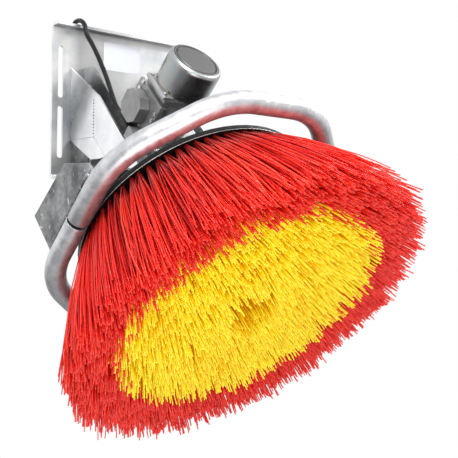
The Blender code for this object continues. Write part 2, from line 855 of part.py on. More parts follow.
def thread_radius(along, turn):
    """The worm's radius: one thread that climbs a tooth pitch in each turn."""
    phase = (along / TOOTH_PITCH - (turn - math.pi / 2) / (2 * math.pi)) % 1
    share = min(phase, 1 - phase)
    slope = (share - TOOTH_TIP_SHARE) / (TOOTH_ROOT_SHARE - TOOTH_TIP_SHARE)
    return WORM_RADIUS - TOOTH_HEIGHT * min(1, max(0, slope))


def worm():
    work = bmesh.new()
    count = round(2 * WORM_HALF_LENGTH / TOOTH_PITCH * 6)
    plain = WORM_SHAFT_RADIUS
    tail = ROTOR_END - MOTOR_CLEARANCE
    rings = [(WORM_END, plain), (WORM_HALF_LENGTH, plain)]
    rings += [(WORM_HALF_LENGTH - 2 * WORM_HALF_LENGTH * i / count, 0) for i in range(count + 1)]
    rings += [(-WORM_HALF_LENGTH, plain), (tail, plain)]
    loops = []
    for along, fixed in rings:
        loop = []
        for i in range(COARSE):
            turn = 2 * math.pi * i / COARSE
            radius = fixed or thread_radius(along, turn)
            loop.append(work.verts.new((radius * math.cos(turn), radius * math.sin(turn), along)))
        loops.append(loop)
    for a, b in zip(loops, loops[1:]):
        for i in range(COARSE):
            j = (i + 1) % COARSE
            work.faces.new((a[i], a[j], b[j], b[i]))
    work.faces.new(loops[0])
    work.faces.new(loops[-1])
    bmesh.ops.recalc_face_normals(work, faces=work.faces)
    data = bpy.data.meshes.new("worm")
    work.to_mesh(data)
    work.free()
    obj = bpy.data.objects.new("worm", data)
    obj.matrix_world = Matrix.Translation(WORM_PLACE) @ ALONG_Y
    round_off(obj)
    return put(obj, BRIGHT_STEEL, True)


worm()
sleeve(
    "worm_bearing_inner",
    WORM_SHAFT_RADIUS + GAP,
    WORM_BORE - GAP,
    WORM_HALF_LENGTH + GAP,
    WORM_HALF_LENGTH + GAP + WORM_BEARING_WIDTH,
    ALONG_Y,
    WORM_PLACE,
    BRIGHT_STEEL,
    steps=COARSE,
)
sleeve(
    "worm_bearing_outer",
    WORM_SHAFT_RADIUS + GAP,
    WORM_BORE - GAP,
    NECK_END + GAP,
    NECK_END + GAP + WORM_BEARING_WIDTH,
    ALONG_Y,
    WORM_PLACE,
    BRIGHT_STEEL,
    steps=COARSE,
)

# Motor: flange, drawn steel can, stator and rotor
flange = box(
    "motor_flange",
    (
        -WORM_OFFSET - MOTOR_FLANGE_HALF_WIDTH,
        MOTOR_BASE,
        SHAFT_LEVEL - MOTOR_FLANGE_HALF_HEIGHT,
    ),
    (-WORM_OFFSET + MOTOR_FLANGE_HALF_WIDTH, NECK_END - GAP, SHAFT_LEVEL + MOTOR_FLANGE_HALF_HEIGHT),
    CAST,
    in_head=True,
    edge=HOUSING_EDGE / 2,
)
cut(
    flange,
    cylinder(
        "flange_bore",
        WORM_BORE,
        MOTOR_BASE - CUT_OVER,
        NECK_END + CUT_OVER,
        ALONG_Y,
        WORM_PLACE,
        None,
        True,
    ),
)
CAN_OPEN = MOTOR_BASE - GAP


def motor_can():
    """A cup with a rounded shoulder and a shallow ring groove in its end."""
    outer = CAN_RADIUS
    inner = outer - CAN_WALL
    inner_end = CAN_END + CAN_WALL + CAN_GROOVE
    inner_round = CAN_SHOULDER - CAN_WALL
    groove = outer - CAN_SHOULDER * 1.5
    centre = outer - CAN_SHOULDER
    profile = [(0, inner_end)]
    profile += arc((centre, inner_end + inner_round), inner_round, -90, 0, 4)
    profile += [(inner, CAN_OPEN), (outer, CAN_OPEN)]
    profile += arc((centre, CAN_END + CAN_SHOULDER), CAN_SHOULDER, 0, -90, 5)
    profile += [
        (groove + CAN_GROOVE, CAN_END),
        (groove, CAN_END + CAN_GROOVE),
        (groove - CAN_GROOVE, CAN_END),
        (0, CAN_END),
    ]
    return turned("motor_can", profile, ALONG_Y, WORM_PLACE, BRIGHT_STEEL, True, FINE)


motor_can()
sleeve(
    "stator",
    CAN_RADIUS - CAN_WALL - GAP - STATOR_THICKNESS,
    CAN_RADIUS - CAN_WALL - GAP,
    CAN_OPEN - GAP - STATOR_LENGTH,
    CAN_OPEN - GAP,
    ALONG_Y,
    WORM_PLACE,
    COPPER,
)
sleeve(
    "rotor",
    WORM_SHAFT_RADIUS + GAP,
    ROTOR_RADIUS,
    ROTOR_END,
    ROTOR_START,
    ALONG_Y,
    WORM_PLACE,
    BRIGHT_STEEL,
)
index = 0
for side in (-1, 1):
    for level in (-1, 1):
        index += 1
        reach = MOTOR_FLANGE_HALF_WIDTH - M6_HEAD - GAP
        height = MOTOR_FLANGE_HALF_HEIGHT - M6_HEAD * 1.6
        place = (-WORM_OFFSET + side * reach, MOTOR_BASE, SHAFT_LEVEL + level * height)
        long = (M6_HEAD * 0.8, M6_HEAD_HEIGHT, M6_RADIUS * 0.8, MOTOR_FLANGE_THICKNESS - CAN_GROOVE)
        screw("motor_screw_%d" % index, place, MINUS_Y, long, [flange])

# Terminal box on the left of the neck, with the cable entry block and its gland
NECK_MIDDLE = SHAFT_LEVEL + NECK_LIFT
BOX_LEVEL = NECK_MIDDLE + BOX_LIFT
FLANGE_IN = NECK_LEFT - GAP
FLANGE_OUT = FLANGE_IN - TERMINAL_FLANGE_THICKNESS
BOX_MIDDLE = NECK_END / 2 - HOUSING_HALF_LENGTH / 2 + TERMINAL_FLANGE_SHIFT
FLANGE_START = BOX_MIDDLE - TERMINAL_FLANGE_LENGTH / 2 + TERMINAL_FLANGE_SHIFT * 2
FLANGE_STOP = BOX_MIDDLE + TERMINAL_FLANGE_LENGTH / 2 + TERMINAL_FLANGE_SHIFT * 2
terminal_flange = box(
    "terminal_flange",
    (FLANGE_OUT, FLANGE_START, NECK_MIDDLE - TERMINAL_FLANGE_HEIGHT / 2),
    (FLANGE_IN, FLANGE_STOP, NECK_MIDDLE + TERMINAL_FLANGE_HEIGHT / 2),
    CAST,
    in_head=True,
    edge=HOUSING_EDGE / 2,
)


def terminal_box():
    half = BOX_SIZE / 2
    near = half - BOX_CHAMFER
    outline = [
        (half, near),
        (near, half),
        (-near, half),
        (-half, near),
        (-half, -near),
        (-near, -half),
        (near, -half),
        (half, -near),
    ]
    place = (FLANGE_OUT - GAP - BOX_DEPTH / 2, BOX_MIDDLE, BOX_LEVEL)
    obj = prism("terminal_box", outline, BOX_DEPTH, ALONG_X, place, CAST, in_head=True)
    scale = (half - BOX_WALL) / half
    inside = [(u * scale, v * scale) for u, v in outline]
    place = (FLANGE_OUT - GAP - BOX_DEPTH / 2 + BOX_WALL, BOX_MIDDLE, BOX_LEVEL)
    cut(obj, prism("box_room", inside, BOX_DEPTH, ALONG_X, place, None, in_head=True))
    return obj


terminal_box()
CORNER = (BOX_SIZE - BOX_CHAMFER) / 2 + M5_HEAD * 0.72
LOW_ROW = NECK_MIDDLE - TERMINAL_FLANGE_HEIGHT / 2 + M5_HEAD * 1.3
terminal_screw_places = [
    (BOX_MIDDLE - BOX_SIZE / 2 - M5_HEAD * 2.5, NECK_MIDDLE + TERMINAL_FLANGE_HEIGHT / 2 - M5_HEAD * 4),
    (BOX_MIDDLE - CORNER, BOX_LEVEL + CORNER),
    (BOX_MIDDLE - M5_HEAD * 5.25, LOW_ROW),
    (BOX_MIDDLE - M5_HEAD * 1.5, LOW_ROW),
    (BOX_MIDDLE + CORNER, BOX_LEVEL - CORNER),
]
short = (M5_HEAD, M5_HEAD_HEIGHT, M5_RADIUS, TERMINAL_FLANGE_THICKNESS - CAN_GROOVE)
for index, (along, level) in enumerate(terminal_screw_places):
    name = "terminal_screw_%d" % (index + 1)
    screw(name, (FLANGE_OUT, along, level), MINUS_X, short, [terminal_flange])
ENTRY_START = BOX_MIDDLE + BOX_SIZE / 2 + GAP
ENTRY_TOP = BOX_LEVEL - BOX_SIZE / 2 + BOX_WALL * 2
box(
    "cable_entry_block",
    (FLANGE_OUT - GAP - ENTRY_DEPTH, ENTRY_START, ENTRY_TOP - ENTRY_HEIGHT),
    (FLANGE_OUT - GAP, ENTRY_START + ENTRY_WIDTH, ENTRY_TOP),
    CAST,
    in_head=True,
)
GLAND_X = FLANGE_OUT - GAP - ENTRY_DEPTH / 2
GLAND_Y = ENTRY_START + ENTRY_WIDTH / 2
GLAND_LOW = ENTRY_TOP + GAP
NUT_TOP = GLAND_LOW + GLAND_NUT_HEIGHT
cylinder(
    "gland_nut", GLAND_NUT_RADIUS, GLAND_LOW, NUT_TOP, ALONG_Z, (GLAND_X, GLAND_Y, 0), BLACK, True, 6
)
BOOT_TOP = NUT_TOP + GAP + GLAND_BOOT_LENGTH
turned(
    "strain_relief",
    [
        (0, BOOT_TOP),
        (CABLE_DIAMETER / 2 + CAN_GROOVE, BOOT_TOP),
        (GLAND_BOOT_RADIUS, NUT_TOP + GAP + GLAND_BOOT_LENGTH / 3),
        (GLAND_BOOT_RADIUS, NUT_TOP + GAP),
        (0, NUT_TOP + GAP),
    ],
    ALONG_Z,
    (GLAND_X, GLAND_Y, 0),
    BLACK,
    True,
    COARSE,
)

# Brush: hub, disc, bristles
turned(
    "hub",
    [
        (HUB_BOSS_RADIUS, HUB_BOSS_HEIGHT),
        (HUB_BOSS_RADIUS, HUB_THICKNESS),
        (HUB_RADIUS, HUB_THICKNESS),
        (HUB_RADIUS, GAP),
        (OUTPUT_RADIUS + GAP, GAP),
        (OUTPUT_RADIUS + GAP, HUB_BOSS_HEIGHT),
    ],
    ALONG_Z,
    (0, 0, 0),
    BRIGHT_STEEL,
    True,
    MEDIUM,
    ring=True,
)
hub = bpy.data.objects["hub"]
disc = turned(
    "brush_disc",
    [
        (OUTPUT_RADIUS + GAP, 0),
        (DISC_RADIUS - DISC_LIP, 0),
        (DISC_RADIUS, -DISC_LIP),
        (DISC_RADIUS, -DISC_THICKNESS),
        (OUTPUT_RADIUS + GAP, -DISC_THICKNESS),
    ],
    ALONG_Z,
    (0, 0, 0),
    BLACK,
    True,
    FINE,
    ring=True,
)
for index in range(4):
    turn = math.radians(45 + 90 * index)
    place = (HUB_BOLT_CIRCLE * math.cos(turn), HUB_BOLT_CIRCLE * math.sin(turn), HUB_THICKNESS)
    screw(
        "hub_bolt_%d" % (index + 1),
        place,
        ALONG_Z,
        M8,
        [hub, disc],
        through=HUB_THICKNESS + DISC_THICKNESS / 2,
    )
washer = sleeve(
    "centre_washer",
    M8_RADIUS + GAP * 2,
    WASHER_RADIUS,
    -DISC_THICKNESS - GAP - WASHER_THICKNESS,
    -DISC_THICKNESS - GAP,
    ALONG_Z,
    (0, 0, 0),
    BRIGHT_STEEL,
)
screw(
    "centre_bolt",
    (0, 0, -DISC_THICKNESS - GAP - WASHER_THICKNESS),
    MINUS_Z,
    M8,
    [shaft],
    through=WASHER_THICKNESS * 2 + M8_LENGTH,
)
ROOT_LEVEL = -DISC_THICKNESS - GAP
TIP_LEVEL = -DISC_THICKNESS - BRISTLE_LENGTH


def bristle_ring(name, inner, outer, tufts, inner_flute, outer_flute, look):
    """A solid ring of bristles; a side with a flute has gaps between its tufts, widest at the roots."""
    work = bmesh.new()
    pitch = 2 * math.pi / tufts

    def loop(radius, share, flute):
        height = ROOT_LEVEL + (TIP_LEVEL - ROOT_LEVEL) * share
        half = TUFT_ROOT_SHARE + (TUFT_TIP_SHARE - TUFT_ROOT_SHARE) * share
        depth = flute * (1 - share * (1 - FLUTE_FADE_SHARE))
        made = []
        for tuft in range(tufts):
            for place, step in ((-half, 0), (half, 0), (0.5, depth)):
                turn = (tuft + place) * pitch
                r = radius + step
                made.append(work.verts.new((r * math.cos(turn), r * math.sin(turn), height)))
        return made

    def side(root, tip, flute):
        levels = FLUTE_LEVELS if flute else 1
        made = []
        for level in range(levels + 1):
            share = level / levels
            made.append(loop(root + (tip - root) * share, share, flute))
        return made

    loops = side(*outer, -outer_flute)
    for ring in range(1, TIP_RINGS):
        radius = outer[1] + (inner[1] - outer[1]) * ring / TIP_RINGS
        groove = TIP_GROOVE / BRISTLE_LENGTH if ring % 2 else 0
        loops.append(loop(radius, 1 - groove, 0))
    loops += reversed(side(*inner, inner_flute))
    for a, b in zip(loops, loops[1:] + loops[:1]):
        for i in range(len(a)):
            j = (i + 1) % len(a)
            work.faces.new((a[i], a[j], b[j], b[i]))
    bmesh.ops.recalc_face_normals(work, faces=work.faces)
    data = bpy.data.meshes.new(name)
    work.to_mesh(data)
    work.free()
    obj = bpy.data.objects.new(name, data)
    round_off(obj)
    return put(obj, look, True)


bristle_ring(
    "red_bristles",
    (COLOUR_ROOT_RADIUS, COLOUR_TIP_RADIUS),
    (DISC_RADIUS - BRISTLE_EDGE, RED_TIP_RADIUS),
    RED_TUFTS,
    0,
    FLUTE_DEPTH,
    RED,
)
bristle_ring(
    "yellow_bristles",
    (CORE_ROOT_RADIUS, CORE_TIP_RADIUS),
    (COLOUR_ROOT_RADIUS - GAP, COLOUR_TIP_RADIUS - GAP),
    YELLOW_TUFTS,
    FLUTE_DEPTH / 2,
    0,
    YELLOW,
)


# Cable: from the strain relief over the plate's upper lip to a coil behind the plate
def in_world(x, y, z):
    return Vector(
        (
            x,
            -HEAD_OUT + y * math.cos(TILT) + z * math.sin(TILT),
            -HEAD_DROP - y * math.sin(TILT) + z * math.cos(TILT),
        )
    )


def cable_route():
    start = in_world(GLAND_X, GLAND_Y, BOOT_TOP + GAP)
    lead = in_world(GLAND_X, GLAND_Y, BOOT_TOP + GAP + CABLE_DIAMETER * 3)
    # The loop passes the lip's front edge at a set clearance
    reach = LOOP_RADIUS - CABLE_DIAMETER / 2 - LIP_CLEARANCE
    centre = (
        -LIP_DEPTH + reach * math.cos(LOOP_TURN),
        PLATE_HEIGHT / 2 - reach * math.sin(LOOP_TURN),
    )
    loop = arc(centre, LOOP_RADIUS, 180, 5, 6)
    left = GLAND_X - LOOP_SHIFT
    begin = Vector((left, *loop[0]))
    route = [start, lead]
    route += [lead.lerp(begin, share) for share in climb_shares]
    route += [Vector((left, y, z)) for y, z in loop[:-2]]
    route += [Vector((GLAND_X, y, z)) for y, z in loop[-2:]]
    back = PLUG_RADIUS + GAP * 8
    drop = centre[1] - LOOP_RADIUS
    route.append(Vector((GLAND_X + COIL_SHIFT, back, drop)))
    route.append(Vector((GLAND_X + COIL_SHIFT, back, drop - CABLE_DIAMETER * 2)))
    return route


COIL_RADIUS = COIL_TURNS_DIAMETER / 2
COIL_OUTER = COIL_RADIUS + COIL_HALF_WIDTH
# A straight end beside the coil's middle line touches the ring this far from its centre
COIL_REACH = math.sqrt(COIL_OUTER**2 - (COIL_RADIUS - CABLE_DIAMETER / 2) ** 2) + GAP
TUBE_END = cable_route()[-1]
COIL_CENTRE = Vector(
    (
        TUBE_END[0] + COIL_RADIUS,
        TUBE_END[1],
        TUBE_END[2] - COIL_REACH,
    )
)
sweep("power_cable", smooth_line(cable_route(), CABLE_DIAMETER * CABLE_STEP), CABLE_DIAMETER, BLACK, 2)
coil_profile = []
for u, v in arc((0, 0), 1, 90, -270, 12)[:-1]:
    coil_profile.append((COIL_RADIUS + COIL_HALF_WIDTH * u, COIL_HALF_THICKNESS * v))
turned("cable_coil", coil_profile, ALONG_Y, COIL_CENTRE, BLACK, False, MEDIUM, ring=True)


def plug():
    """A round plug with its neck up to the coil and two pins."""
    reach = math.sqrt(COIL_OUTER**2 - (COIL_RADIUS - PLUG_NECK_RADIUS) ** 2) + GAP
    place = COIL_CENTRE + Vector((-COIL_RADIUS, 0, -reach))
    low = -PLUG_NECK_LENGTH - PLUG_LENGTH
    profile = [
        (0, 0),
        (PLUG_NECK_RADIUS, 0),
        (PLUG_NECK_RADIUS, -PLUG_NECK_LENGTH),
        (PLUG_RADIUS - BOX_WALL, -PLUG_NECK_LENGTH - BOX_WALL),
        (PLUG_RADIUS, -PLUG_NECK_LENGTH - BOX_WALL * 2),
        (PLUG_RADIUS, low),
        (0, low),
    ]
    obj = turned("plug", profile, ALONG_Z, place, BLACK, False, COARSE)
    for side in (-1, 1):
        at = place + Vector((side * PIN_SPACING, 0, 0))
        pin = cylinder("pin", PIN_RADIUS, low - PIN_LENGTH, low + CUT_OVER, ALONG_Z, at, None, False, 12)
        unite(obj, pin)
    return obj


plug()
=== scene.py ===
import math

import bpy
import numpy as np
from mathutils import Matrix, Vector


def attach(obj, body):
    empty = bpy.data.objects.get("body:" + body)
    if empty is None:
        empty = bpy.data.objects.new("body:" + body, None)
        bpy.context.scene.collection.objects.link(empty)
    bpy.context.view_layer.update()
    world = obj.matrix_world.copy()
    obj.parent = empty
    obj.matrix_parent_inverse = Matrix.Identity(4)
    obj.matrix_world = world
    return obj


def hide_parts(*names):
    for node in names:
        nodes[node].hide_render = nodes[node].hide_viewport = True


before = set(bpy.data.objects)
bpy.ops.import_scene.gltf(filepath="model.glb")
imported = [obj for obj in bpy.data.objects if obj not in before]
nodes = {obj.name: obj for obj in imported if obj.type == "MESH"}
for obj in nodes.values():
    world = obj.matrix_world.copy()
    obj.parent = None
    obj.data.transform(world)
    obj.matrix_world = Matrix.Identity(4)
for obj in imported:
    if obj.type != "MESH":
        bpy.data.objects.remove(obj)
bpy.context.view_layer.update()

# The brush head's own frame: z points back up the brush axis, y down along the tilted disc
headFrame = {"out": 0.278, "drop": 0.230, "tilt": math.radians(45)}
headMatrix = Matrix.Translation((0, -headFrame["out"], -headFrame["drop"])) @ Matrix.Rotation(
    -headFrame["tilt"], 4, "X"
)


# Small helpers
def deselectAll():
    if bpy.context.object and bpy.context.object.mode != "OBJECT":
        bpy.ops.object.mode_set(mode="OBJECT")
    bpy.ops.object.select_all(action="DESELECT")


def pickOnly(*pieces):
    deselectAll()
    for piece in pieces:
        piece.select_set(True)
    bpy.context.view_layer.objects.active = pieces[0]


def bakePlace(piece):
    pickOnly(piece)
    bpy.ops.object.transform_apply(location=True, rotation=True, scale=True)


def joinPieces(name, pieces):
    pickOnly(*pieces)
    bpy.ops.object.join()
    joined = bpy.context.object
    joined.name = name
    bakePlace(joined)
    return joined


def applyModifiers(piece):
    pickOnly(piece)
    for modifier in list(piece.modifiers):
        bpy.ops.object.modifier_apply(modifier=modifier.name)


def placeInHead(piece):
    piece.matrix_world = headMatrix @ piece.matrix_world
    bakePlace(piece)


def smoothByAngle(piece, angle):
    pickOnly(piece)
    bpy.ops.object.shade_smooth_by_angle(angle=math.radians(angle))


def paint(piece, material):
    piece.data.materials.clear()
    piece.data.materials.append(material)


# Camera at the photograph's angle, solved from the corners of the plate, ring and disc
cameraFit = {
    "place": (-0.92840, -1.45910, -0.23964), "turn": 40.561, "tip": -0.301, "roll": 1.006,
    "lens": 63.817, "sensor": 36, "near": 0.02, "far": 40,
}


def addCamera():
    bpy.ops.object.camera_add(
        location=cameraFit["place"],
        rotation=(
            math.radians(90 + cameraFit["tip"]),
            math.radians(-cameraFit["roll"]),
            math.radians(-cameraFit["turn"]),
        ),
    )
    camera = bpy.context.object
    camera.data.sensor_width = cameraFit["sensor"]
    camera.data.lens = cameraFit["lens"]
    camera.data.clip_start = cameraFit["near"]
    camera.data.clip_end = cameraFit["far"]
    bpy.context.scene.camera = camera


addCamera()
print("camera placed")


# Materials
def startMaterial(name, colour, roughness, metallic=0.0):
    material = bpy.data.materials.new(name)
    material.use_nodes = True
    shader = material.node_tree.nodes["Principled BSDF"]
    shader.inputs["Base Color"].default_value = (*colour, 1)
    shader.inputs["Roughness"].default_value = roughness
    shader.inputs["Metallic"].default_value = metallic
    return material, shader


def grey(value):
    return (value, value, value)


# Node helpers: the owner of the nodes is a material or the world
def objectSpot(owner, scale=(1, 1, 1), turn=(0, 0, 0)):
    tree = owner.node_tree
    spot = tree.nodes.new("ShaderNodeTexCoord")
    mapping = tree.nodes.new("ShaderNodeMapping")
    mapping.inputs["Scale"].default_value = scale
    mapping.inputs["Rotation"].default_value = turn
    tree.links.new(spot.outputs["Object"], mapping.inputs["Vector"])
    return mapping.outputs["Vector"]


def attributeOn(owner, name):
    node = owner.node_tree.nodes.new("ShaderNodeAttribute")
    node.attribute_name = name
    return node.outputs["Fac"]


def noiseOn(owner, vector, scale, detail=3.0, roughness=0.5, distortion=0.0):
    noise = owner.node_tree.nodes.new("ShaderNodeTexNoise")
    noise.inputs["Scale"].default_value = scale
    noise.inputs["Detail"].default_value = detail
    noise.inputs["Roughness"].default_value = roughness
    noise.inputs["Distortion"].default_value = distortion
    owner.node_tree.links.new(vector, noise.inputs["Vector"])
    return noise.outputs["Fac"]


def rampOn(owner, fac, stops):
    ramp = owner.node_tree.nodes.new("ShaderNodeValToRGB")
    elements = ramp.color_ramp.elements
    while len(elements) < len(stops):
        elements.new(0.5)
    for element, (place, colour) in zip(elements, stops):
        element.position = place
        element.color = (*colour, 1)
    owner.node_tree.links.new(fac, ramp.inputs["Fac"])
    return ramp.outputs["Color"]


def greyRampOn(owner, fac, stops):
    return rampOn(owner, fac, [(place, grey(value)) for place, value in stops])


def rangeOn(owner, value, start, end, low=0, high=1, kind="LINEAR"):
    node = owner.node_tree.nodes.new("ShaderNodeMapRange")
    node.interpolation_type = kind
    for name, number in (("From Min", start), ("From Max", end), ("To Min", low), ("To Max", high)):
        node.inputs[name].default_value = number
    owner.node_tree.links.new(value, node.inputs["Value"])
    return node.outputs["Result"]


def mixOn(owner, fac, first, second, kind="MIX"):
    mix = owner.node_tree.nodes.new("ShaderNodeMix")
    mix.data_type = "RGBA"
    mix.blend_type = kind
    links = owner.node_tree.links
    if isinstance(fac, float):
        mix.inputs["Factor"].default_value = fac
    else:
        links.new(fac, mix.inputs["Factor"])
    for socket, value in ((mix.inputs["A"], first), (mix.inputs["B"], second)):
        if isinstance(value, tuple):
            socket.default_value = (*value, 1)
        else:
            links.new(value, socket)
    return mix.outputs["Result"]


def mixShaderOn(owner, fac, first, second):
    mix = owner.node_tree.nodes.new("ShaderNodeMixShader")
    for socket, value in zip(mix.inputs, (fac, first, second)):
        owner.node_tree.links.new(value, socket)
    return mix.outputs["Shader"]


def vectorMath(owner, operation, *values):
    node = owner.node_tree.nodes.new("ShaderNodeVectorMath")
    node.operation = operation
    for socket, value in zip(node.inputs, values):
        if isinstance(value, tuple):
            socket.default_value = value
        else:
            owner.node_tree.links.new(value, socket)
    single = operation in ("DOT_PRODUCT", "LENGTH")
    return node.outputs["Value"] if single else node.outputs["Vector"]


def numberMath(owner, operation, *values):
    node = owner.node_tree.nodes.new("ShaderNodeMath")
    node.operation = operation
    for socket, value in zip(node.inputs, values):
        if isinstance(value, float):
            socket.default_value = value
        else:
            owner.node_tree.links.new(value, socket)
    return node.outputs["Value"]


def bumpOn(material, shader, height, strength, distance):
    bump = material.node_tree.nodes.new("ShaderNodeBump")
    bump.inputs["Strength"].default_value = strength
    bump.inputs["Distance"].default_value = distance
    material.node_tree.links.new(height, bump.inputs["Height"])
    material.node_tree.links.new(bump.outputs["Normal"], shader.inputs["Normal"])


# Painted shade and reflection: a tone that darkens and lightens along a line through the piece
def paintedShadeOn(material, spot, shade, tone):
    first, last = Vector(shade["from"]), Vector(shade["to"])
    way = (last - first) / (last - first).length_squared
    offset = vectorMath(material, "SUBTRACT", spot, tuple(first))
    along = vectorMath(material, "DOT_PRODUCT", offset, tuple(way))
    return mixOn(material, 1.0, tone, greyRampOn(material, along, shade["stops"]), "MULTIPLY")


# Zinc coats: spangle cells over a cloudy tone, then streaks, painted shade and flecks
plateLook = {
    "light": (1.0, 0.985, 0.96), "dark": (0.72, 0.745, 0.78), "metal": 1.0,
    "cloud": 14, "cloudNoise": {"detail": 4, "roughness": 0.6}, "reach": 0.15,
    "spangle": 90, "spangleStops": [(0.15, 0.2), (0.75, 0.8)], "spangleShare": 0.10,
    "streakScale": (1.2, 1.0, 0.25), "streakTurn": (0, 0.2, 0),
    "streakNoise": {"scale": 10, "detail": 5, "roughness": 0.65},
    "streakDark": 0.82, "streakFrom": 0.3, "streakTo": 0.62,
    "smooth": 0.33, "rough": 0.36, "smoothAt": 0.35, "roughAt": 0.65, "bump": 0.10, "bumpDepth": 0.0006,
    "flecks": None,
    # painted shade and reflection: light at the plate's left edge, darker from there to the middle, lighter
    # again to the right
    "shade": {
        "from": (-0.15, 0, 0), "to": (0.15, 0, 0),
        "stops": [(0.0, 1.0), (0.11, 1.0), (0.20, 0.56), (0.36, 0.58), (0.60, 0.80), (0.80, 0.88)],
    },
}
tubeLook = dict(
    plateLook, light=(0.78, 0.79, 0.81), dark=(0.60, 0.61, 0.63), metal=0.88, cloud=60,
    spangle=160, spangleShare=0.15, streakDark=0.70, smooth=0.34, rough=0.50, bump=0.2, shade=None,
)
armLook = dict(
    plateLook, light=(0.99, 0.99, 1.0), dark=(0.86, 0.88, 0.91), spangle=60, streakDark=0.85,
    smooth=0.27, rough=0.30,
    # painted shade and reflection: the arm's side is light at its top, darker across its middle and bright
    # again further down and out
    shade={
        "from": (0, 0, 0.06), "to": (0, -0.17, -0.07),
        "stops": [(0.0, 0.95), (0.09, 0.90), (0.19, 0.48), (0.33, 0.36), (0.44, 0.50), (0.56, 1.0)],
    },
)
dullLook = dict(
    plateLook, light=(0.33, 0.34, 0.35), dark=(0.12, 0.125, 0.13), cloud=20, reach=0.10,
    spangle=120, spangleShare=0.25, streakScale=(1.0, 1.0, 0.30), streakDark=0.55,
    smooth=0.28, rough=0.50, bump=0.35, shade=None,
    flecks={
        "noise": {"scale": 75, "detail": 2, "roughness": 0.5, "distortion": 0.6},
        "stops": [(0.66, 0.0), (0.74, 0.6)], "colour": (0.95, 0.96, 0.98),
    },
)


def galvanised(name, look):
    material, shader = startMaterial(name, look["light"], look["rough"], look["metal"])
    links = material.node_tree.links
    spot = objectSpot(material)
    cells = material.node_tree.nodes.new("ShaderNodeTexVoronoi")
    cells.inputs["Scale"].default_value = look["spangle"]
    links.new(spot, cells.inputs["Vector"])
    spangle = greyRampOn(material, cells.outputs["Distance"], look["spangleStops"])
    cloud = noiseOn(material, spot, look["cloud"], **look["cloudNoise"])
    reach = look["reach"]
    cloudTone = rampOn(material, cloud, [(0.5 - reach, look["dark"]), (0.5 + reach, look["light"])])
    spangled = mixOn(material, look["spangleShare"], cloudTone, spangle, "OVERLAY")
    streakSpot = objectSpot(material, look["streakScale"], look["streakTurn"])
    streak = noiseOn(material, streakSpot, **look["streakNoise"])
    streakStops = [(look["streakFrom"], look["streakDark"]), (look["streakTo"], 1.0)]
    toned = mixOn(material, 1.0, spangled, greyRampOn(material, streak, streakStops), "MULTIPLY")
    if look["shade"]:
        # painted shade and reflection along a line, where the look gives one
        toned = paintedShadeOn(material, spot, look["shade"], toned)
    if look["flecks"]:
        fleck = noiseOn(material, spot, **look["flecks"]["noise"])
        share = greyRampOn(material, fleck, look["flecks"]["stops"])
        toned = mixOn(material, share, toned, look["flecks"]["colour"])
    links.new(toned, shader.inputs["Base Color"])
    roughStops = [(look["smoothAt"], look["smooth"]), (look["roughAt"], look["rough"])]
    links.new(greyRampOn(material, cloud, roughStops), shader.inputs["Roughness"])
    bumpOn(material, shader, cloud, look["bump"], look["bumpDepth"])
    return material


plateSteel = galvanised("galvanisedPlate", plateLook)
tubeSteel = galvanised("galvanisedTube", tubeLook)
armSteel = galvanised("galvanisedArm", armLook)
dullSteel = galvanised("galvanisedDull", dullLook)


# Castings, machined metal and black plastics: a cloudy tone and roughness over a fine grain
metalLook = {
    "cloud": {"scale": 40, "detail": 5, "roughness": 0.6}, "grain": {"scale": 900, "detail": 2},
    "darkAt": 0.3, "lightAt": 0.7, "smoother": 0.08, "rougher": 0.12, "bump": 0.35, "bumpDepth": 0.0003,
}
plasticLook = dict(metalLook, grain={"scale": 600, "detail": 2}, rougher=0.10, bump=0.25)


def plasticWith(cloudScale):
    return dict(plasticLook, cloud={"scale": cloudScale, "detail": 4, "roughness": 0.6})


def mottled(name, look, light, dark, rough, metal=0.0):
    material, shader = startMaterial(name, light, rough, metal)
    links = material.node_tree.links
    spot = objectSpot(material)
    cloud = noiseOn(material, spot, **look["cloud"])
    tone = rampOn(material, cloud, [(look["darkAt"], dark), (look["lightAt"], light)])
    links.new(tone, shader.inputs["Base Color"])
    roughStops = [(look["darkAt"], rough - look["smoother"]), (look["lightAt"], rough + look["rougher"])]
    links.new(greyRampOn(material, cloud, roughStops), shader.inputs["Roughness"])
    bumpOn(material, shader, noiseOn(material, spot, **look["grain"]), look["bump"], look["bumpDepth"])
    return material


castAluminium = mottled("dieCastAluminium", metalLook, grey(0.38), grey(0.23), 0.42, 0.7)
# the same casting painted lighter: painted light for the gear housing, its cover, the motor flange and the
# neck ribs
castPaintedLit = mottled("dieCastPaintedLit", metalLook, grey(0.56), grey(0.36), 0.36, 0.75)
zincScrew = mottled("zincScrew", metalLook, (0.80, 0.80, 0.78), (0.55, 0.55, 0.54), 0.25, 1.0)
bronzeMetal = mottled("bronzeWheel", metalLook, (0.60, 0.38, 0.15), (0.42, 0.25, 0.10), 0.34, 1.0)
groundSteel = mottled("groundSteel", metalLook, (0.62, 0.62, 0.61), (0.42, 0.42, 0.42), 0.26, 1.0)
copperMetal = mottled("copperWinding", metalLook, (0.62, 0.30, 0.14), (0.40, 0.17, 0.07), 0.36, 1.0)
blackPlastic = mottled("blackPlastic", plasticWith(30), (0.014, 0.014, 0.015), grey(0.007), 0.42)
blackRubber = mottled("blackRubber", plasticWith(45), grey(0.026), grey(0.010), 0.62)
cableRubber = mottled("cableSheath", plasticWith(60), (0.010, 0.010, 0.011), grey(0.005), 0.30)
blackShine = 0.22
for black in (blackPlastic, cableRubber):
    black.node_tree.nodes["Principled BSDF"].inputs["Specular IOR Level"].default_value = blackShine


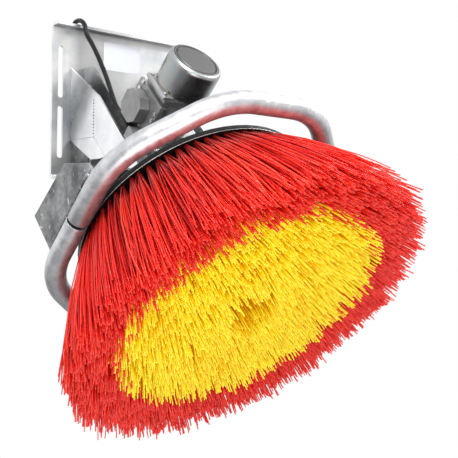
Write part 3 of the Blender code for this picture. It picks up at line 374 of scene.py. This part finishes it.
canLook = {
    # the motor's axis in world terms, the end face's place along it and the can's radius
    "axis": (0, -0.70711, 0.70711), "through": (-0.035, -0.15779, -0.10979), "end": 0.2616,
    "radius": 0.051,
    "cloud": {"scale": 16, "detail": 4, "roughness": 0.6, "distortion": 1.2},
    "side": [
        (0.30, (0.32, 0.34, 0.35)), (0.45, (0.42, 0.41, 0.38)),
        (0.56, (0.37, 0.40, 0.42)), (0.70, (0.52, 0.53, 0.52)),
    ],
    "face": [
        (0.0, 0.17), (0.76, 0.17), (0.77, 0.03), (0.80, 0.03), (0.81, 0.22),
        (0.845, 0.22), (0.855, 0.03), (0.875, 0.03), (0.885, 0.40),
    ],
    "faceRough": 0.36, "sideRough": [(0.35, 0.24), (0.65, 0.34)],
}


def motorSteel():
    look = canLook
    material, shader = startMaterial("zincPlatedCan", look["side"][-1][1], look["faceRough"], 1.0)
    links = material.node_tree.links
    spot = objectSpot(material)
    cloud = noiseOn(material, spot, **look["cloud"])
    along = vectorMath(material, "DOT_PRODUCT", spot, look["axis"])
    onFace = numberMath(material, "GREATER_THAN", along, look["end"])
    offset = vectorMath(material, "SUBTRACT", spot, look["through"])
    across = vectorMath(material, "LENGTH", vectorMath(material, "CROSS_PRODUCT", offset, look["axis"]))
    side = rampOn(material, cloud, look["side"])
    face = greyRampOn(material, numberMath(material, "DIVIDE", across, look["radius"]), look["face"])
    links.new(mixOn(material, onFace, side, face), shader.inputs["Base Color"])
    rough = greyRampOn(material, cloud, look["sideRough"])
    links.new(mixOn(material, onFace, rough, grey(look["faceRough"])), shader.inputs["Roughness"])
    return material


canSteel = motorSteel()

# Nylon: what both colours share, with places given as shares of the filament's length
nylonLook = {
    "middleAt": 0.5, "paleAt": 0.96, "cutAt": 0.985, "crimps": 420.0, "bump": 0.12,
    "bumpDepth": 0.0003, "specular": 0.40,
}
redLook = {
    "dark": (0.58, 0.005, 0.003), "mid": (0.88, 0.020, 0.012), "light": (1.0, 0.075, 0.036),
    # root and middle are painted shade, darkening the filament down into the tuft towards the disc
    "root": (0.5, 0.35, 0.35), "middle": (1.0, 0.9, 0.9), "end": (0.90, 0.055, 0.035),
    "rough": 0.32, "glow": None,
}
yellowLook = {
    "dark": (0.98, 0.56, 0.002), "mid": (1.0, 0.78, 0.006), "light": (1.0, 0.93, 0.030),
    # root and middle are painted shade down into the tuft, orange as light through nylon makes it
    "root": (1.0, 0.38, 0.08), "middle": (1.0, 0.56, 0.25), "end": (1.0, 0.90, 0.05),
    "rough": 0.40, "glow": (1.0, 0.42, 0.0), "glowing": 0.055,
}


def filamentMaterial(name, look):
    material, shader = startMaterial(name, look["mid"], look["rough"])
    tone = attributeOn(material, "tone")
    along = attributeOn(material, "along")
    toneStops = [(0.0, look["dark"]), (0.5, look["mid"]), (1.0, look["light"])]
    # painted shade: root and middle darken the colour from the tips down to the disc, where the tufts shade
    # each other
    tuftShadeStops = [
        (0.0, look["root"]), (nylonLook["middleAt"], look["middle"]), (nylonLook["paleAt"], grey(1.0)),
    ]
    depth = rampOn(material, along, tuftShadeStops)
    shaded = mixOn(material, 1.0, rampOn(material, tone, toneStops), depth, "MULTIPLY")
    cutEnd = greyRampOn(material, along, [(nylonLook["cutAt"], 0.0), (1.0, 1.0)])
    ended = mixOn(material, cutEnd, shaded, look["end"])
    material.node_tree.links.new(ended, shader.inputs["Base Color"])
    crimp = numberMath(material, "SINE", numberMath(material, "MULTIPLY", along, nylonLook["crimps"]))
    bumpOn(material, shader, crimp, nylonLook["bump"], nylonLook["bumpDepth"])
    shader.inputs["Specular IOR Level"].default_value = nylonLook["specular"]
    # a faint glow stands for the light that passes through pale nylon
    if look["glow"]:
        shader.inputs["Emission Color"].default_value = (*look["glow"], 1)
        shader.inputs["Emission Strength"].default_value = look["glowing"]
    return material


redNylon = filamentMaterial("redNylon", redLook)
yellowNylon = filamentMaterial("yellowNylon", yellowLook)


# Finishes of the carried-over CAD nodes, by the start of their names
finishes = {
    "wall_plate": plateSteel,
    "console_arm": armSteel,
    "lower_gusset": armSteel,
    "wall_rib": dullSteel,
    "rubber_buffer": blackRubber,
    "guard_bow": tubeSteel,
    "guard_plate": dullSteel,
    "carrier_plate": dullSteel,
    # the gear housing, its cover and the motor flange take the casting painted lighter, as painted light
    "gear_housing": castPaintedLit,
    "gear_cover": castPaintedLit,
    "motor_flange": castPaintedLit,
    "terminal_flange": castAluminium,
    "terminal_box": castAluminium,
    "cable_entry_block": castAluminium,
    "cover_screw": zincScrew,
    "motor_screw": zincScrew,
    "terminal_screw": zincScrew,
    "hub_bolt": zincScrew,
    "centre_": zincScrew,
    "motor_can": canSteel,
    "stator": copperMetal,
    "rotor": groundSteel,
    "worm_wheel": bronzeMetal,
    "worm": groundSteel,
    "output_": groundSteel,
    "wheel_key": groundSteel,
    "hub": groundSteel,
    "shaft_seal": blackRubber,
    "gland_nut": blackPlastic,
    "strain_relief": blackRubber,
    "brush_disc": blackPlastic,
    "plug": blackPlastic,
    "power_cable": cableRubber,
    "cable_coil": cableRubber,
    "red_bristles": redNylon,
    "yellow_bristles": yellowNylon,
}


def finishNodes():
    for name, node in nodes.items():
        best = max((key for key in finishes if name.startswith(key)), key=len)
        paint(node, finishes[best])


finishNodes()
print("CAD nodes finished:", len(nodes))


# Sheet metal and castings get their edges broken, which the loose CAD triangles need joined for
edgeLook = {"join": 0.00001, "segments": 2, "angle": 30}
edgeWidths = {
    "wall_plate": 0.0009, "console_arm": 0.0007, "lower_gusset": 0.0006, "wall_rib": 0.0006,
    "guard_plate": 0.0009, "carrier_plate": 0.0008, "gear_cover": 0.0006, "motor_flange": 0.0006,
    "terminal_flange": 0.0006, "terminal_box": 0.0008, "cable_entry_block": 0.0010,
    "gland_nut": 0.0005, "terminal_screw": 0.0005, "motor_screw": 0.0005, "hub_bolt": 0.0006,
    "brush_disc": 0.0009,
}


def breakEdges():
    for name, node in nodes.items():
        width = next((value for key, value in edgeWidths.items() if name.startswith(key)), None)
        if not width:
            continue
        weld = node.modifiers.new("join", "WELD")
        weld.merge_threshold = edgeLook["join"]
        bevel = node.modifiers.new("brokenEdge", "BEVEL")
        bevel.width = width
        bevel.segments = edgeLook["segments"]
        bevel.limit_method = "ANGLE"
        bevel.angle_limit = math.radians(edgeLook["angle"])
        bevel.harden_normals = True


breakEdges()


# A round tube along a line of points, still a curve
def tubeAlong(name, points, diameter, roundness):
    curve = bpy.data.curves.new(name, "CURVE")
    curve.dimensions = "3D"
    curve.bevel_depth = diameter / 2
    curve.bevel_resolution = roundness
    spline = curve.splines.new("POLY")
    spline.points.add(len(points) - 1)
    for point, place in zip(spline.points, points):
        point.co = (*place, 1)
    spline.use_smooth = True
    tube = bpy.data.objects.new(name, curve)
    bpy.context.scene.collection.objects.link(tube)
    return tube


# Power cable: up over the plate's lip, down behind it and into a coil
cableLook = {
    "diameter": 0.0093, "roundness": 5, "step": 0.010,
    "route": [
        (-0.0956, -0.1637, -0.0305), (-0.0946, -0.145, -0.0107), (-0.0935, -0.1180, 0.0322),
        (-0.0940, -0.0892, 0.0751), (-0.0965, -0.0636, 0.1108), (-0.0990, -0.0466, 0.1322),
        (-0.0996, -0.0413, 0.1488), (-0.0996, -0.0294, 0.1612), (-0.0996, -0.0131, 0.1662),
        (-0.0996, 0.0037, 0.1626), (-0.0956, 0.0166, 0.1513), (-0.0956, 0.0223, 0.1352),
        (-0.0816, 0.0214, 0.0982), (-0.0816, 0.0214, 0.0796),
    ],
    # shares of the straight run into the coil, and how far below its end the plug's run goes
    "straight": (0.33, 0.66), "tail": (0.010, 0.020, 0.030, 0.038, 0.0435),
    "coilCentre": (-0.03255, 0.0214, 0.0346), "coilRadius": 0.049, "turns": 5, "perTurn": 24,
    # where each turn lies in the coil: outward and back from the middle line
    "lays": [
        (0, -0.0048), (0.0093, -0.0048), (-0.0090, -0.0046), (-0.0048, 0.0046), (0.0047, 0.0046), (0, 0),
    ],
    # the first turn takes up its lay over this share of itself, and each crosses over its last third
    "settle": 0.3, "crossFrom": 0.66,
}


def smoothLine(route, step, perSpan=24, slack=0.00001):
    points = [Vector(p) for p in route]
    ends = [2 * points[0] - points[1]] + points + [2 * points[-1] - points[-2]]
    fine = []
    for a, b, c, d in zip(ends, ends[1:], ends[2:], ends[3:]):
        for i in range(perSpan):
            t = i / perSpan
            square = (2 * a - 5 * b + 4 * c - d) * t**2
            cube = (3 * b - a - 3 * c + d) * t**3
            fine.append(0.5 * (2 * b + (c - a) * t + square + cube))
    fine.append(points[-1])
    total = sum((q - p).length for p, q in zip(fine, fine[1:]))
    count = max(2, round(total / step))
    wanted = [total * i / count for i in range(count + 1)]
    line = []
    run = 0
    for p, q in zip(fine, fine[1:]):
        piece = (q - p).length
        while len(line) < len(wanted) and wanted[len(line)] <= run + piece + slack:
            line.append(p.lerp(q, min(1, (wanted[len(line)] - run) / piece)))
        run += piece
    return line


def coilLine():
    look = cableLook
    centre = Vector(look["coilCentre"])
    lays = look["lays"]
    line = []
    for i in range(1, look["perTurn"] * look["turns"] + 1):
        turn = i / look["perTurn"]
        index = min(int(turn), len(lays) - 2)
        share = turn - index
        if index == 0 and share < look["settle"]:
            outward, back = [value * share / look["settle"] for value in lays[0]]
        else:
            cross = min(1, max(0, (share - look["crossFrom"]) / (1 - look["crossFrom"])))
            cross = cross * cross * (3 - 2 * cross)
            outward, back = [a + (b - a) * cross for a, b in zip(lays[index], lays[index + 1])]
        angle = math.pi + turn * 2 * math.pi
        radius = look["coilRadius"] + outward
        line.append(centre + Vector((radius * math.cos(angle), back, radius * math.sin(angle))))
    return line


def addCable():
    down = smoothLine(cableLook["route"], cableLook["step"])
    coil = coilLine()
    straight = [down[-1].lerp(coil[0], share) for share in cableLook["straight"]]
    tail = [coil[-1] + Vector((0, 0, -drop)) for drop in cableLook["tail"]]
    points = down + straight + coil + tail
    cable = tubeAlong("powerCable", points, cableLook["diameter"], cableLook["roundness"])
    cable.data.use_fill_caps = True
    paint(cable, cableRubber)
    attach(cable, "console")
    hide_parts("power_cable", "cable_coil")


addCable()
print("cable made")

# Guard ring: smoother tubes than the solids', open at their split ends
guardLook = {
    "halfWidth": 0.251, "halfLength": 0.279, "flatWidth": 0.100, "flatLength": 0.140,
    "bend": 0.150, "bendSteps": 14, "level": -0.012, "split": 0.006, "diameter": 0.038,
    "roundness": 10, "wall": 0.0026, "rim": 0.0011, "rimSegments": 2, "rimAngle": 60, "smooth": 40,
}


def bentPath(corners, radius, count):
    path = [Vector(corners[0])]
    for before, corner, after in zip(corners, corners[1:], corners[2:]):
        corner = Vector(corner)
        back = (Vector(before) - corner).normalized()
        on = (Vector(after) - corner).normalized()
        half = back.angle(on) / 2
        reach = radius / math.tan(half)
        centre = corner + (back + on).normalized() * radius / math.sin(half)
        first = corner + back * reach - centre
        last = corner + on * reach - centre
        for i in range(count + 1):
            path.append(centre + first.slerp(last, i / count) * radius)
    path.append(Vector(corners[-1]))
    return path


def addGuardTube(name, way, node):
    look = guardLook
    start = way * look["split"] / 2
    flat = [
        (-look["halfWidth"], start), (-look["halfWidth"], way * look["flatLength"]),
        (-look["flatWidth"], way * look["halfLength"]), (look["flatWidth"], way * look["halfLength"]),
        (look["halfWidth"], way * look["flatLength"]), (look["halfWidth"], start),
    ]
    points = bentPath([(x, y, look["level"]) for x, y in flat], look["bend"], look["bendSteps"])
    tube = tubeAlong(name, points, look["diameter"], look["roundness"])
    pickOnly(tube)
    bpy.ops.object.convert(target="MESH")
    tube = bpy.context.object
    wall = tube.modifiers.new("wall", "SOLIDIFY")
    wall.thickness = look["wall"]
    wall.offset = -1
    rim = tube.modifiers.new("rim", "BEVEL")
    rim.width = look["rim"]
    rim.segments = look["rimSegments"]
    rim.limit_method = "ANGLE"
    rim.angle_limit = math.radians(look["rimAngle"])
    applyModifiers(tube)
    placeInHead(tube)
    smoothByAngle(tube, look["smooth"])
    paint(tube, tubeSteel)
    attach(tube, "console")
    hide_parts(node)


addGuardTube("guardTubeFront", -1, "guard_bow_front")
addGuardTube("guardTubeRear", 1, "guard_bow_rear")
print("guard tubes made")

# Small things on the console: a blank label, weld beads and casting ribs
labelLook = {
    "middle": (0.0102, -0.0055, 0.1062), "width": 0.0900, "height": 0.0570, "sheet": 0.0003,
    "gap": 0.0002, "light": (0.64, 0.65, 0.68), "dark": (0.60, 0.61, 0.65), "darkAt": 0.3,
    "lightAt": 0.7, "cloud": 30, "rough": 0.5,
}


def addLabel():
    look = labelLook
    deselectAll()
    bpy.ops.mesh.primitive_cube_add(size=1)
    label = bpy.context.object
    label.name = "blankLabel"
    label.scale = (look["width"], look["sheet"], look["height"])
    x, y, z = look["middle"]
    label.location = (x, y - look["gap"] - look["sheet"] / 2, z)
    bakePlace(label)
    material, shader = startMaterial("blankFilm", look["light"], look["rough"])
    cloud = noiseOn(material, objectSpot(material), look["cloud"])
    tone = rampOn(material, cloud, [(look["darkAt"], look["dark"]), (look["lightAt"], look["light"])])
    material.node_tree.links.new(tone, shader.inputs["Base Color"])
    paint(label, material)
    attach(label, "console")


# Welds: where the beads run, how far apart and how big they are, and how flat across the seam
weldLook = {
    "x": 0.2565, "from": -0.078, "to": 0.070, "level": 0.0126, "step": 0.0060, "size": 0.0042, "flat": 0.8,
}
seamLook = {
    "x": 0.1101, "y": -0.0955, "top": -0.004, "bottom": -0.074, "step": 0.0058, "size": 0.0016, "flat": 0.5,
}
beadLook = {"segments": 12, "rings": 7, "uneven": 0.18, "turn": 0.5}


# A row of small overlapping beads, joined into one piece
def addBeads(name, places, look):
    dice = np.random.default_rng(len(name))
    deselectAll()
    bpy.ops.mesh.primitive_uv_sphere_add(
        segments=beadLook["segments"], ring_count=beadLook["rings"], radius=1
    )
    pattern = bpy.context.object
    beads = []
    for place in places:
        bead = pattern.copy()
        bead.data = pattern.data.copy()
        bpy.context.scene.collection.objects.link(bead)
        grow = look["size"] * (1 + beadLook["uneven"] * dice.standard_normal())
        bead.scale = (grow * look["flat"], grow, grow)
        bead.rotation_euler = (dice.random() * beadLook["turn"], 0, 0)
        bead.location = place
        beads.append(bead)
    bpy.data.objects.remove(pattern, do_unlink=True)
    row = joinPieces(name, beads)
    bpy.ops.object.shade_smooth()
    paint(row, dullSteel)
    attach(row, "console")


def evenPlaces(start, end, step):
    start, end = Vector(start), Vector(end)
    count = round((end - start).length / step)
    return [start.lerp(end, i / count) for i in range(count + 1)]


def addWelds():
    for side, sideName in ((-1, "Left"), (1, "Right")):
        first, last = [(side * weldLook["x"], weldLook[end], weldLook["level"]) for end in ("from", "to")]
        places = [headMatrix @ place for place in evenPlaces(first, last, weldLook["step"])]
        addBeads("guard" + sideName + "Weld", places, weldLook)
    for side, sideName in ((-1, "Left"), (1, "Right")):
        first, last = [(side * seamLook["x"], seamLook["y"], seamLook[end]) for end in ("top", "bottom")]
        addBeads("armSeam" + sideName, evenPlaces(first, last, seamLook["step"]), seamLook)


ribLook = {
    "width": 0.0030, "rise": 0.0035, "crossRise": 0.8, "under": 0.1457,
    "along": [-0.060, -0.034, -0.006], "from": -0.0515, "to": -0.1560,
    "across": [-0.074, -0.104, -0.134], "left": -0.0745, "right": 0.0085,
    "soften": 0.0006, "softenSegments": 2,
}


def addNeckRibs():
    look = ribLook
    level = look["under"] - look["rise"] / 2
    middle = (look["from"] + look["to"]) / 2
    length = look["from"] - look["to"]
    boxes = [((x, middle, level), (look["width"], length, look["rise"])) for x in look["along"]]
    centre = (look["left"] + look["right"]) / 2
    width = look["right"] - look["left"]
    for y in look["across"]:
        boxes.append(((centre, y, level), (width, look["width"], look["rise"] * look["crossRise"])))
    made = []
    for place, size in boxes:
        deselectAll()
        bpy.ops.mesh.primitive_cube_add(size=1, location=place)
        rib = bpy.context.object
        rib.scale = size
        bakePlace(rib)
        made.append(rib)
    ribs = joinPieces("neckRibs", made)
    soften = ribs.modifiers.new("soften", "BEVEL")
    soften.width = look["soften"]
    soften.segments = look["softenSegments"]
    applyModifiers(ribs)
    placeInHead(ribs)
    # the ribs take the casting painted lighter, as painted light
    paint(ribs, castPaintedLit)
    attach(ribs, "console")


# The light line of the disc's lower edge
rimLook = {"radius": 0.2289, "thickness": 0.0007, "level": -0.0137}


def addDiscRim():
    look = rimLook
    deselectAll()
    bpy.ops.mesh.primitive_torus_add(
        major_radius=look["radius"],
        minor_radius=look["thickness"],
        major_segments=160,
        minor_segments=8,
        location=(0, 0, look["level"]),
    )
    rim = bpy.context.object
    rim.name = "discRim"
    bakePlace(rim)
    placeInHead(rim)
    bpy.ops.object.shade_smooth()
    paint(rim, zincScrew)
    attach(rim, "brush_head")


addLabel()
addWelds()
addNeckRibs()
addDiscRim()
print("label, welds, ribs and rim made")

# Bristles: lengths in metres in the brush head's frame
brushLook = {
    "disc": 0.014, "clear": 0.0003, "tip": 0.236, "filament": 0.00128, "hole": 0.0036,
    # heights at which a filament is cut across so that it can curve, and how much it curves outwards
    "cuts": (0.2, 0.45, 0.7, 0.88), "curve": 0.10,
    # how far past the tip level filaments start out and may go, and how much shorter some are
    "proud": 0.006, "longest": 0.007, "shortfall": 0.017, "tuftShort": 0.003,
    # spreads of a tuft's place and lean, and of tone by tuft and by filament
    "spacing": 0.05, "lean": 0.005, "tuftTone": 0.10, "tone": 0.17,
    # a tuft's splay from its middle to its edge, wider to the side than outwards
    "splay": 0.25, "splayMore": 0.95, "outWide": 1.25, "sideWide": 1.5,
    # a filament's own wander, and how many stray and how far
    "outWander": 0.004, "sideWander": 0.005, "bowWander": 0.003, "strays": 0.06, "stray": 0.012,
    # how far the outer row's tips lie out from their even ring, by angle in degrees: they hang
    "hang": [
        (0, 0.000), (30, 0.001), (60, 0.008), (90, 0.007), (120, 0.001), (150, -0.011), (180, -0.032),
        (205, -0.042), (235, -0.026), (265, -0.010), (300, -0.012), (330, -0.007), (360, 0.000),
    ],
    # each row further in hangs less by this share, and a hanging bristle's middle bows out by its own
    "hangLess": 0.12, "bow": 0.10,
}
# Rows: root radius, tip radius, tufts, filaments in each tuft, spread at the tips
redRing = {
    "seed": 7, "tipFrom": 0.226, "tipTo": 0.356, "hangs": 1, "pieces": 3,
    "rows": [
        (0.2215, 0.3330, 80, 26, 0.0110),
        (0.2030, 0.3050, 73, 24, 0.0130),
        (0.1830, 0.2810, 64, 22, 0.0140),
        (0.1630, 0.2620, 56, 20, 0.0130),
    ],
}
yellowRing = {
    "seed": 11, "tipFrom": 0.040, "tipTo": 0.252, "hangs": 0, "pieces": 2,
    "rows": [
        (0.1430, 0.2320, 50, 29, 0.0150),
        (0.1240, 0.2000, 43, 30, 0.0150),
        (0.1050, 0.1680, 36, 31, 0.0150),
        (0.0870, 0.1350, 30, 31, 0.0155),
        (0.0720, 0.0960, 25, 30, 0.0150),
        (0.0640, 0.0590, 20, 26, 0.0140),
    ],
}


def filamentPattern():
    deselectAll()
    bpy.ops.mesh.primitive_cylinder_add(
        vertices=4, radius=1, depth=1, location=(0, 0, 0.5), end_fill_type="NGON"
    )
    pattern = bpy.context.object
    bpy.ops.object.transform_apply(location=True, rotation=True, scale=True)
    bpy.ops.object.mode_set(mode="EDIT")
    for height in brushLook["cuts"]:
        bpy.ops.mesh.select_all(action="SELECT")
        bpy.ops.mesh.bisect(plane_co=(0, 0, height), plane_no=(0, 0, 1))
    bpy.ops.object.mode_set(mode="OBJECT")
    corners = np.array([v.co[:] for v in pattern.data.vertices])
    faces = [list(p.vertices) for p in pattern.data.polygons]
    bpy.data.objects.remove(pattern, do_unlink=True)
    return corners, faces


patternCorners, patternFaces = filamentPattern()


def hangAt(angle):
    degrees = math.degrees(angle) % 360
    for (first, start), (last, end) in zip(brushLook["hang"], brushLook["hang"][1:]):
        if degrees <= last:
            share = (1 - math.cos(math.pi * (degrees - first) / (last - first))) / 2
            return start + (end - start) * share


def tuftFilaments(ring):
    look = brushLook
    dice = np.random.default_rng(ring["seed"])
    table = []
    for rowIndex, (rootRadius, tipRadius, tufts, count, spread) in enumerate(ring["rows"]):
        share = ring["hangs"] * (1 - look["hangLess"] * rowIndex)
        for tuft in range(tufts):
            # the tufts of every second row stand between those of the row before
            place = tuft + 0.5 * (rowIndex % 2) + look["spacing"] * dice.standard_normal()
            angle = 2 * math.pi * place / tufts
            shift = share * hangAt(angle)
            lean = dice.normal(0, look["lean"]) + shift
            side = dice.normal(0, look["lean"])
            tuftTone = dice.normal(0, look["tuftTone"])
            short = dice.normal(0, look["tuftShort"])
            for _ in range(count):
                spin = dice.random() * 2 * math.pi
                reach = math.sqrt(dice.random())
                rootOut = rootRadius + reach * look["hole"] * math.cos(spin)
                rootSide = reach * look["hole"] * math.sin(spin)
                push = spread * (look["splay"] + look["splayMore"] * reach)
                stray = look["stray"] * (dice.random() < look["strays"])
                tipOut = tipRadius + lean + push * math.cos(spin) * look["outWide"]
                tipOut += dice.normal(0, look["outWander"] + stray / 2)
                tipOut = min(max(tipOut, ring["tipFrom"]), ring["tipTo"])
                tipSide = side + push * math.sin(spin) * look["sideWide"]
                tipSide += dice.normal(0, look["sideWander"] + stray)
                depth = look["tip"] + look["proud"] + short - abs(dice.normal(0, look["shortfall"]))
                depth = min(depth, look["tip"] + look["longest"])
                bow = dice.normal(0, look["bowWander"]) - look["bow"] * shift
                bowSide = dice.normal(0, look["bowWander"])
                turn = dice.random() * math.pi
                tone = float(np.clip(0.5 + tuftTone + dice.normal(0, look["tone"]), 0, 1))
                table.append((angle, rootOut, rootSide, tipOut, tipSide, -depth, bow, bowSide, turn, tone))
    return np.array(table)


def growFilaments(name, table, material, node):
    count = len(table)
    corners = len(patternCorners)
    angle, rootOut, rootSide, tipOut, tipSide, depth, bow, bowSide, turn, tone = table.T
    along = patternCorners[:, 2]
    cosA, sinA = np.cos(angle)[:, None], np.sin(angle)[:, None]
    s = along[None, :]
    ease = s * (1 + brushLook["curve"] * (1 - s))
    out = rootOut[:, None] + (tipOut - rootOut)[:, None] * ease + bow[:, None] * 4 * s * (1 - s)
    side = rootSide[:, None] + (tipSide - rootSide)[:, None] * ease
    side += bowSide[:, None] * 4 * s * (1 - s)
    top = -brushLook["disc"] - brushLook["clear"]
    height = top + (depth[:, None] - top) * s
    cosS, sinS = np.cos(turn)[:, None], np.sin(turn)[:, None]
    px = patternCorners[None, :, 0] * brushLook["filament"]
    py = patternCorners[None, :, 1] * brushLook["filament"]
    x = out * cosA - side * sinA + px * cosS - py * sinS
    y = out * sinA + side * cosA + px * sinS + py * cosS
    local = np.stack([x, y, height, np.ones_like(x)], axis=-1).reshape(-1, 4)
    world = (local @ np.array(headMatrix).T)[:, :3]
    faces = []
    for index in range(count):
        base = index * corners
        faces.extend([[base + v for v in face] for face in patternFaces])
    mesh = bpy.data.meshes.new(name)
    mesh.from_pydata(world.tolist(), [], faces)
    for label, values in (("tone", np.repeat(tone, corners)), ("along", np.tile(along, count))):
        attribute = mesh.attributes.new(label, "FLOAT", "POINT")
        attribute.data.foreach_set("value", values.astype(np.float32))
    mesh.shade_smooth()
    piece = bpy.data.objects.new(name, mesh)
    bpy.context.scene.collection.objects.link(piece)
    paint(piece, material)
    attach(piece, "brush_head")
    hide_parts(node)
    print(name, count, "filaments")


# The filaments of one of several equal sectors round the brush
def sectorOf(table, index, count):
    wide = 2 * math.pi / count
    angle = table[:, 0] % (2 * math.pi)
    return table[(angle >= index * wide) & (angle < (index + 1) * wide)]


def addBristles():
    for colour, ring, material in (("red", redRing, redNylon), ("yellow", yellowRing, yellowNylon)):
        table = tuftFilaments(ring)
        for index in range(ring["pieces"]):
            name = "%sBristles%d" % (colour, index + 1)
            sector = sectorOf(table, index, ring["pieces"])
            growFilaments(name, sector, material, colour + "_bristles")


addBristles()


# Light and floor
lightLook = {
    "key": {"place": (-0.7, -1.9, 1.9), "size": 1.3, "power": 70, "aim": (0, -0.35, -0.2)},
    "fill": {"place": (-0.9, -2.3, -1.1), "size": 1.6, "power": 33, "aim": (0, -0.4, -0.35)},
    "side": {"place": (1.5, -1.0, 1.3), "size": 1.0, "power": 28, "aim": (0.1, -0.4, -0.2)},
}


def addLights():
    for name, look in lightLook.items():
        bpy.ops.object.light_add(type="AREA", location=look["place"])
        lamp = bpy.context.object
        lamp.name = name + "Light"
        lamp.data.energy = look["power"]
        lamp.data.size = look["size"]
        direction = Vector(look["aim"]) - Vector(look["place"])
        lamp.rotation_euler = direction.to_track_quat("-Z", "Y").to_euler()


# What shiny metal sees: the room from its left (0) to its right (1), greyer low down, and darker on
# the side that the photograph was taken from. The camera sees white, and all else a plain room.
skyLook = {
    "across": [
        (0.0, 1.0), (0.25, 1.0), (0.62, 0.55), (0.70, 0.40), (0.765, 0.36), (0.80, 0.66), (0.9, 0.80),
        (1.0, 0.88),
    ],
    "acrossShare": 0.45, "low": -0.7, "high": 0.2, "heightShare": 0.55,
    "darkWay": (-0.64, -0.75, -0.15), "darkFrom": 0.55, "darkTo": 0.95, "darkLeast": 0.45,
    "lowColour": (0.10, 0.105, 0.115), "highColour": (1.12, 1.12, 1.12),
    "room": (0.95, 0.97, 1.0), "roomStrength": 0.82,
}


def addWorld():
    look = skyLook
    world = bpy.data.worlds.new("studio")
    bpy.context.scene.world = world
    world.use_nodes = True
    tree = world.node_tree
    ray = tree.nodes.new("ShaderNodeLightPath")
    spot = tree.nodes.new("ShaderNodeTexCoord").outputs["Generated"]
    split = tree.nodes.new("ShaderNodeSeparateXYZ")
    tree.links.new(spot, split.inputs["Vector"])
    height = rangeOn(world, split.outputs["Z"], look["low"], look["high"])
    across = greyRampOn(world, rangeOn(world, split.outputs["X"], -1, 1), look["across"])
    acrossPart = numberMath(world, "MULTIPLY", across, look["acrossShare"])
    both = numberMath(world, "MULTIPLY_ADD", height, look["heightShare"], acrossPart)
    toward = vectorMath(world, "DOT_PRODUCT", spot, look["darkWay"])
    dim = rangeOn(world, toward, look["darkFrom"], look["darkTo"], 1, look["darkLeast"], "SMOOTHSTEP")
    sky = mixOn(world, numberMath(world, "MULTIPLY", both, dim), look["lowColour"], look["highColour"])
    shiny = tree.nodes.new("ShaderNodeBackground")
    tree.links.new(sky, shiny.inputs["Color"])
    room = tree.nodes["Background"]
    room.inputs["Color"].default_value = (*look["room"], 1)
    room.inputs["Strength"].default_value = look["roomStrength"]
    white = tree.nodes.new("ShaderNodeBackground")
    white.inputs["Color"].default_value = (1, 1, 1, 1)
    backgrounds = [node.outputs["Background"] for node in (room, shiny, white)]
    seen = mixShaderOn(world, ray.outputs["Is Glossy Ray"], backgrounds[0], backgrounds[1])
    seen = mixShaderOn(world, ray.outputs["Is Camera Ray"], seen, backgrounds[2])
    tree.links.new(seen, tree.nodes["World Output"].inputs["Surface"])


floorLook = {"size": 9, "place": (0, -0.5, -1.9), "tone": 0.32, "rough": 0.9}


# The camera sees the floor as white, and the object is lit by its real tone
def addFloor():
    deselectAll()
    bpy.ops.mesh.primitive_plane_add(size=floorLook["size"], location=floorLook["place"])
    floor = bpy.context.object
    floor.name = "floor"
    material, shader = startMaterial("paleFloor", grey(floorLook["tone"]), floorLook["rough"])
    tree = material.node_tree
    glow = tree.nodes.new("ShaderNodeEmission")
    glow.inputs["Color"].default_value = (1, 1, 1, 1)
    ray = tree.nodes.new("ShaderNodeLightPath").outputs["Is Camera Ray"]
    seen = mixShaderOn(material, ray, shader.outputs["BSDF"], glow.outputs["Emission"])
    tree.links.new(seen, tree.nodes["Material Output"].inputs["Surface"])
    paint(floor, material)


addLights()
addWorld()
addFloor()
bpy.context.scene.view_settings.view_transform = "Standard"
print("light and floor set")
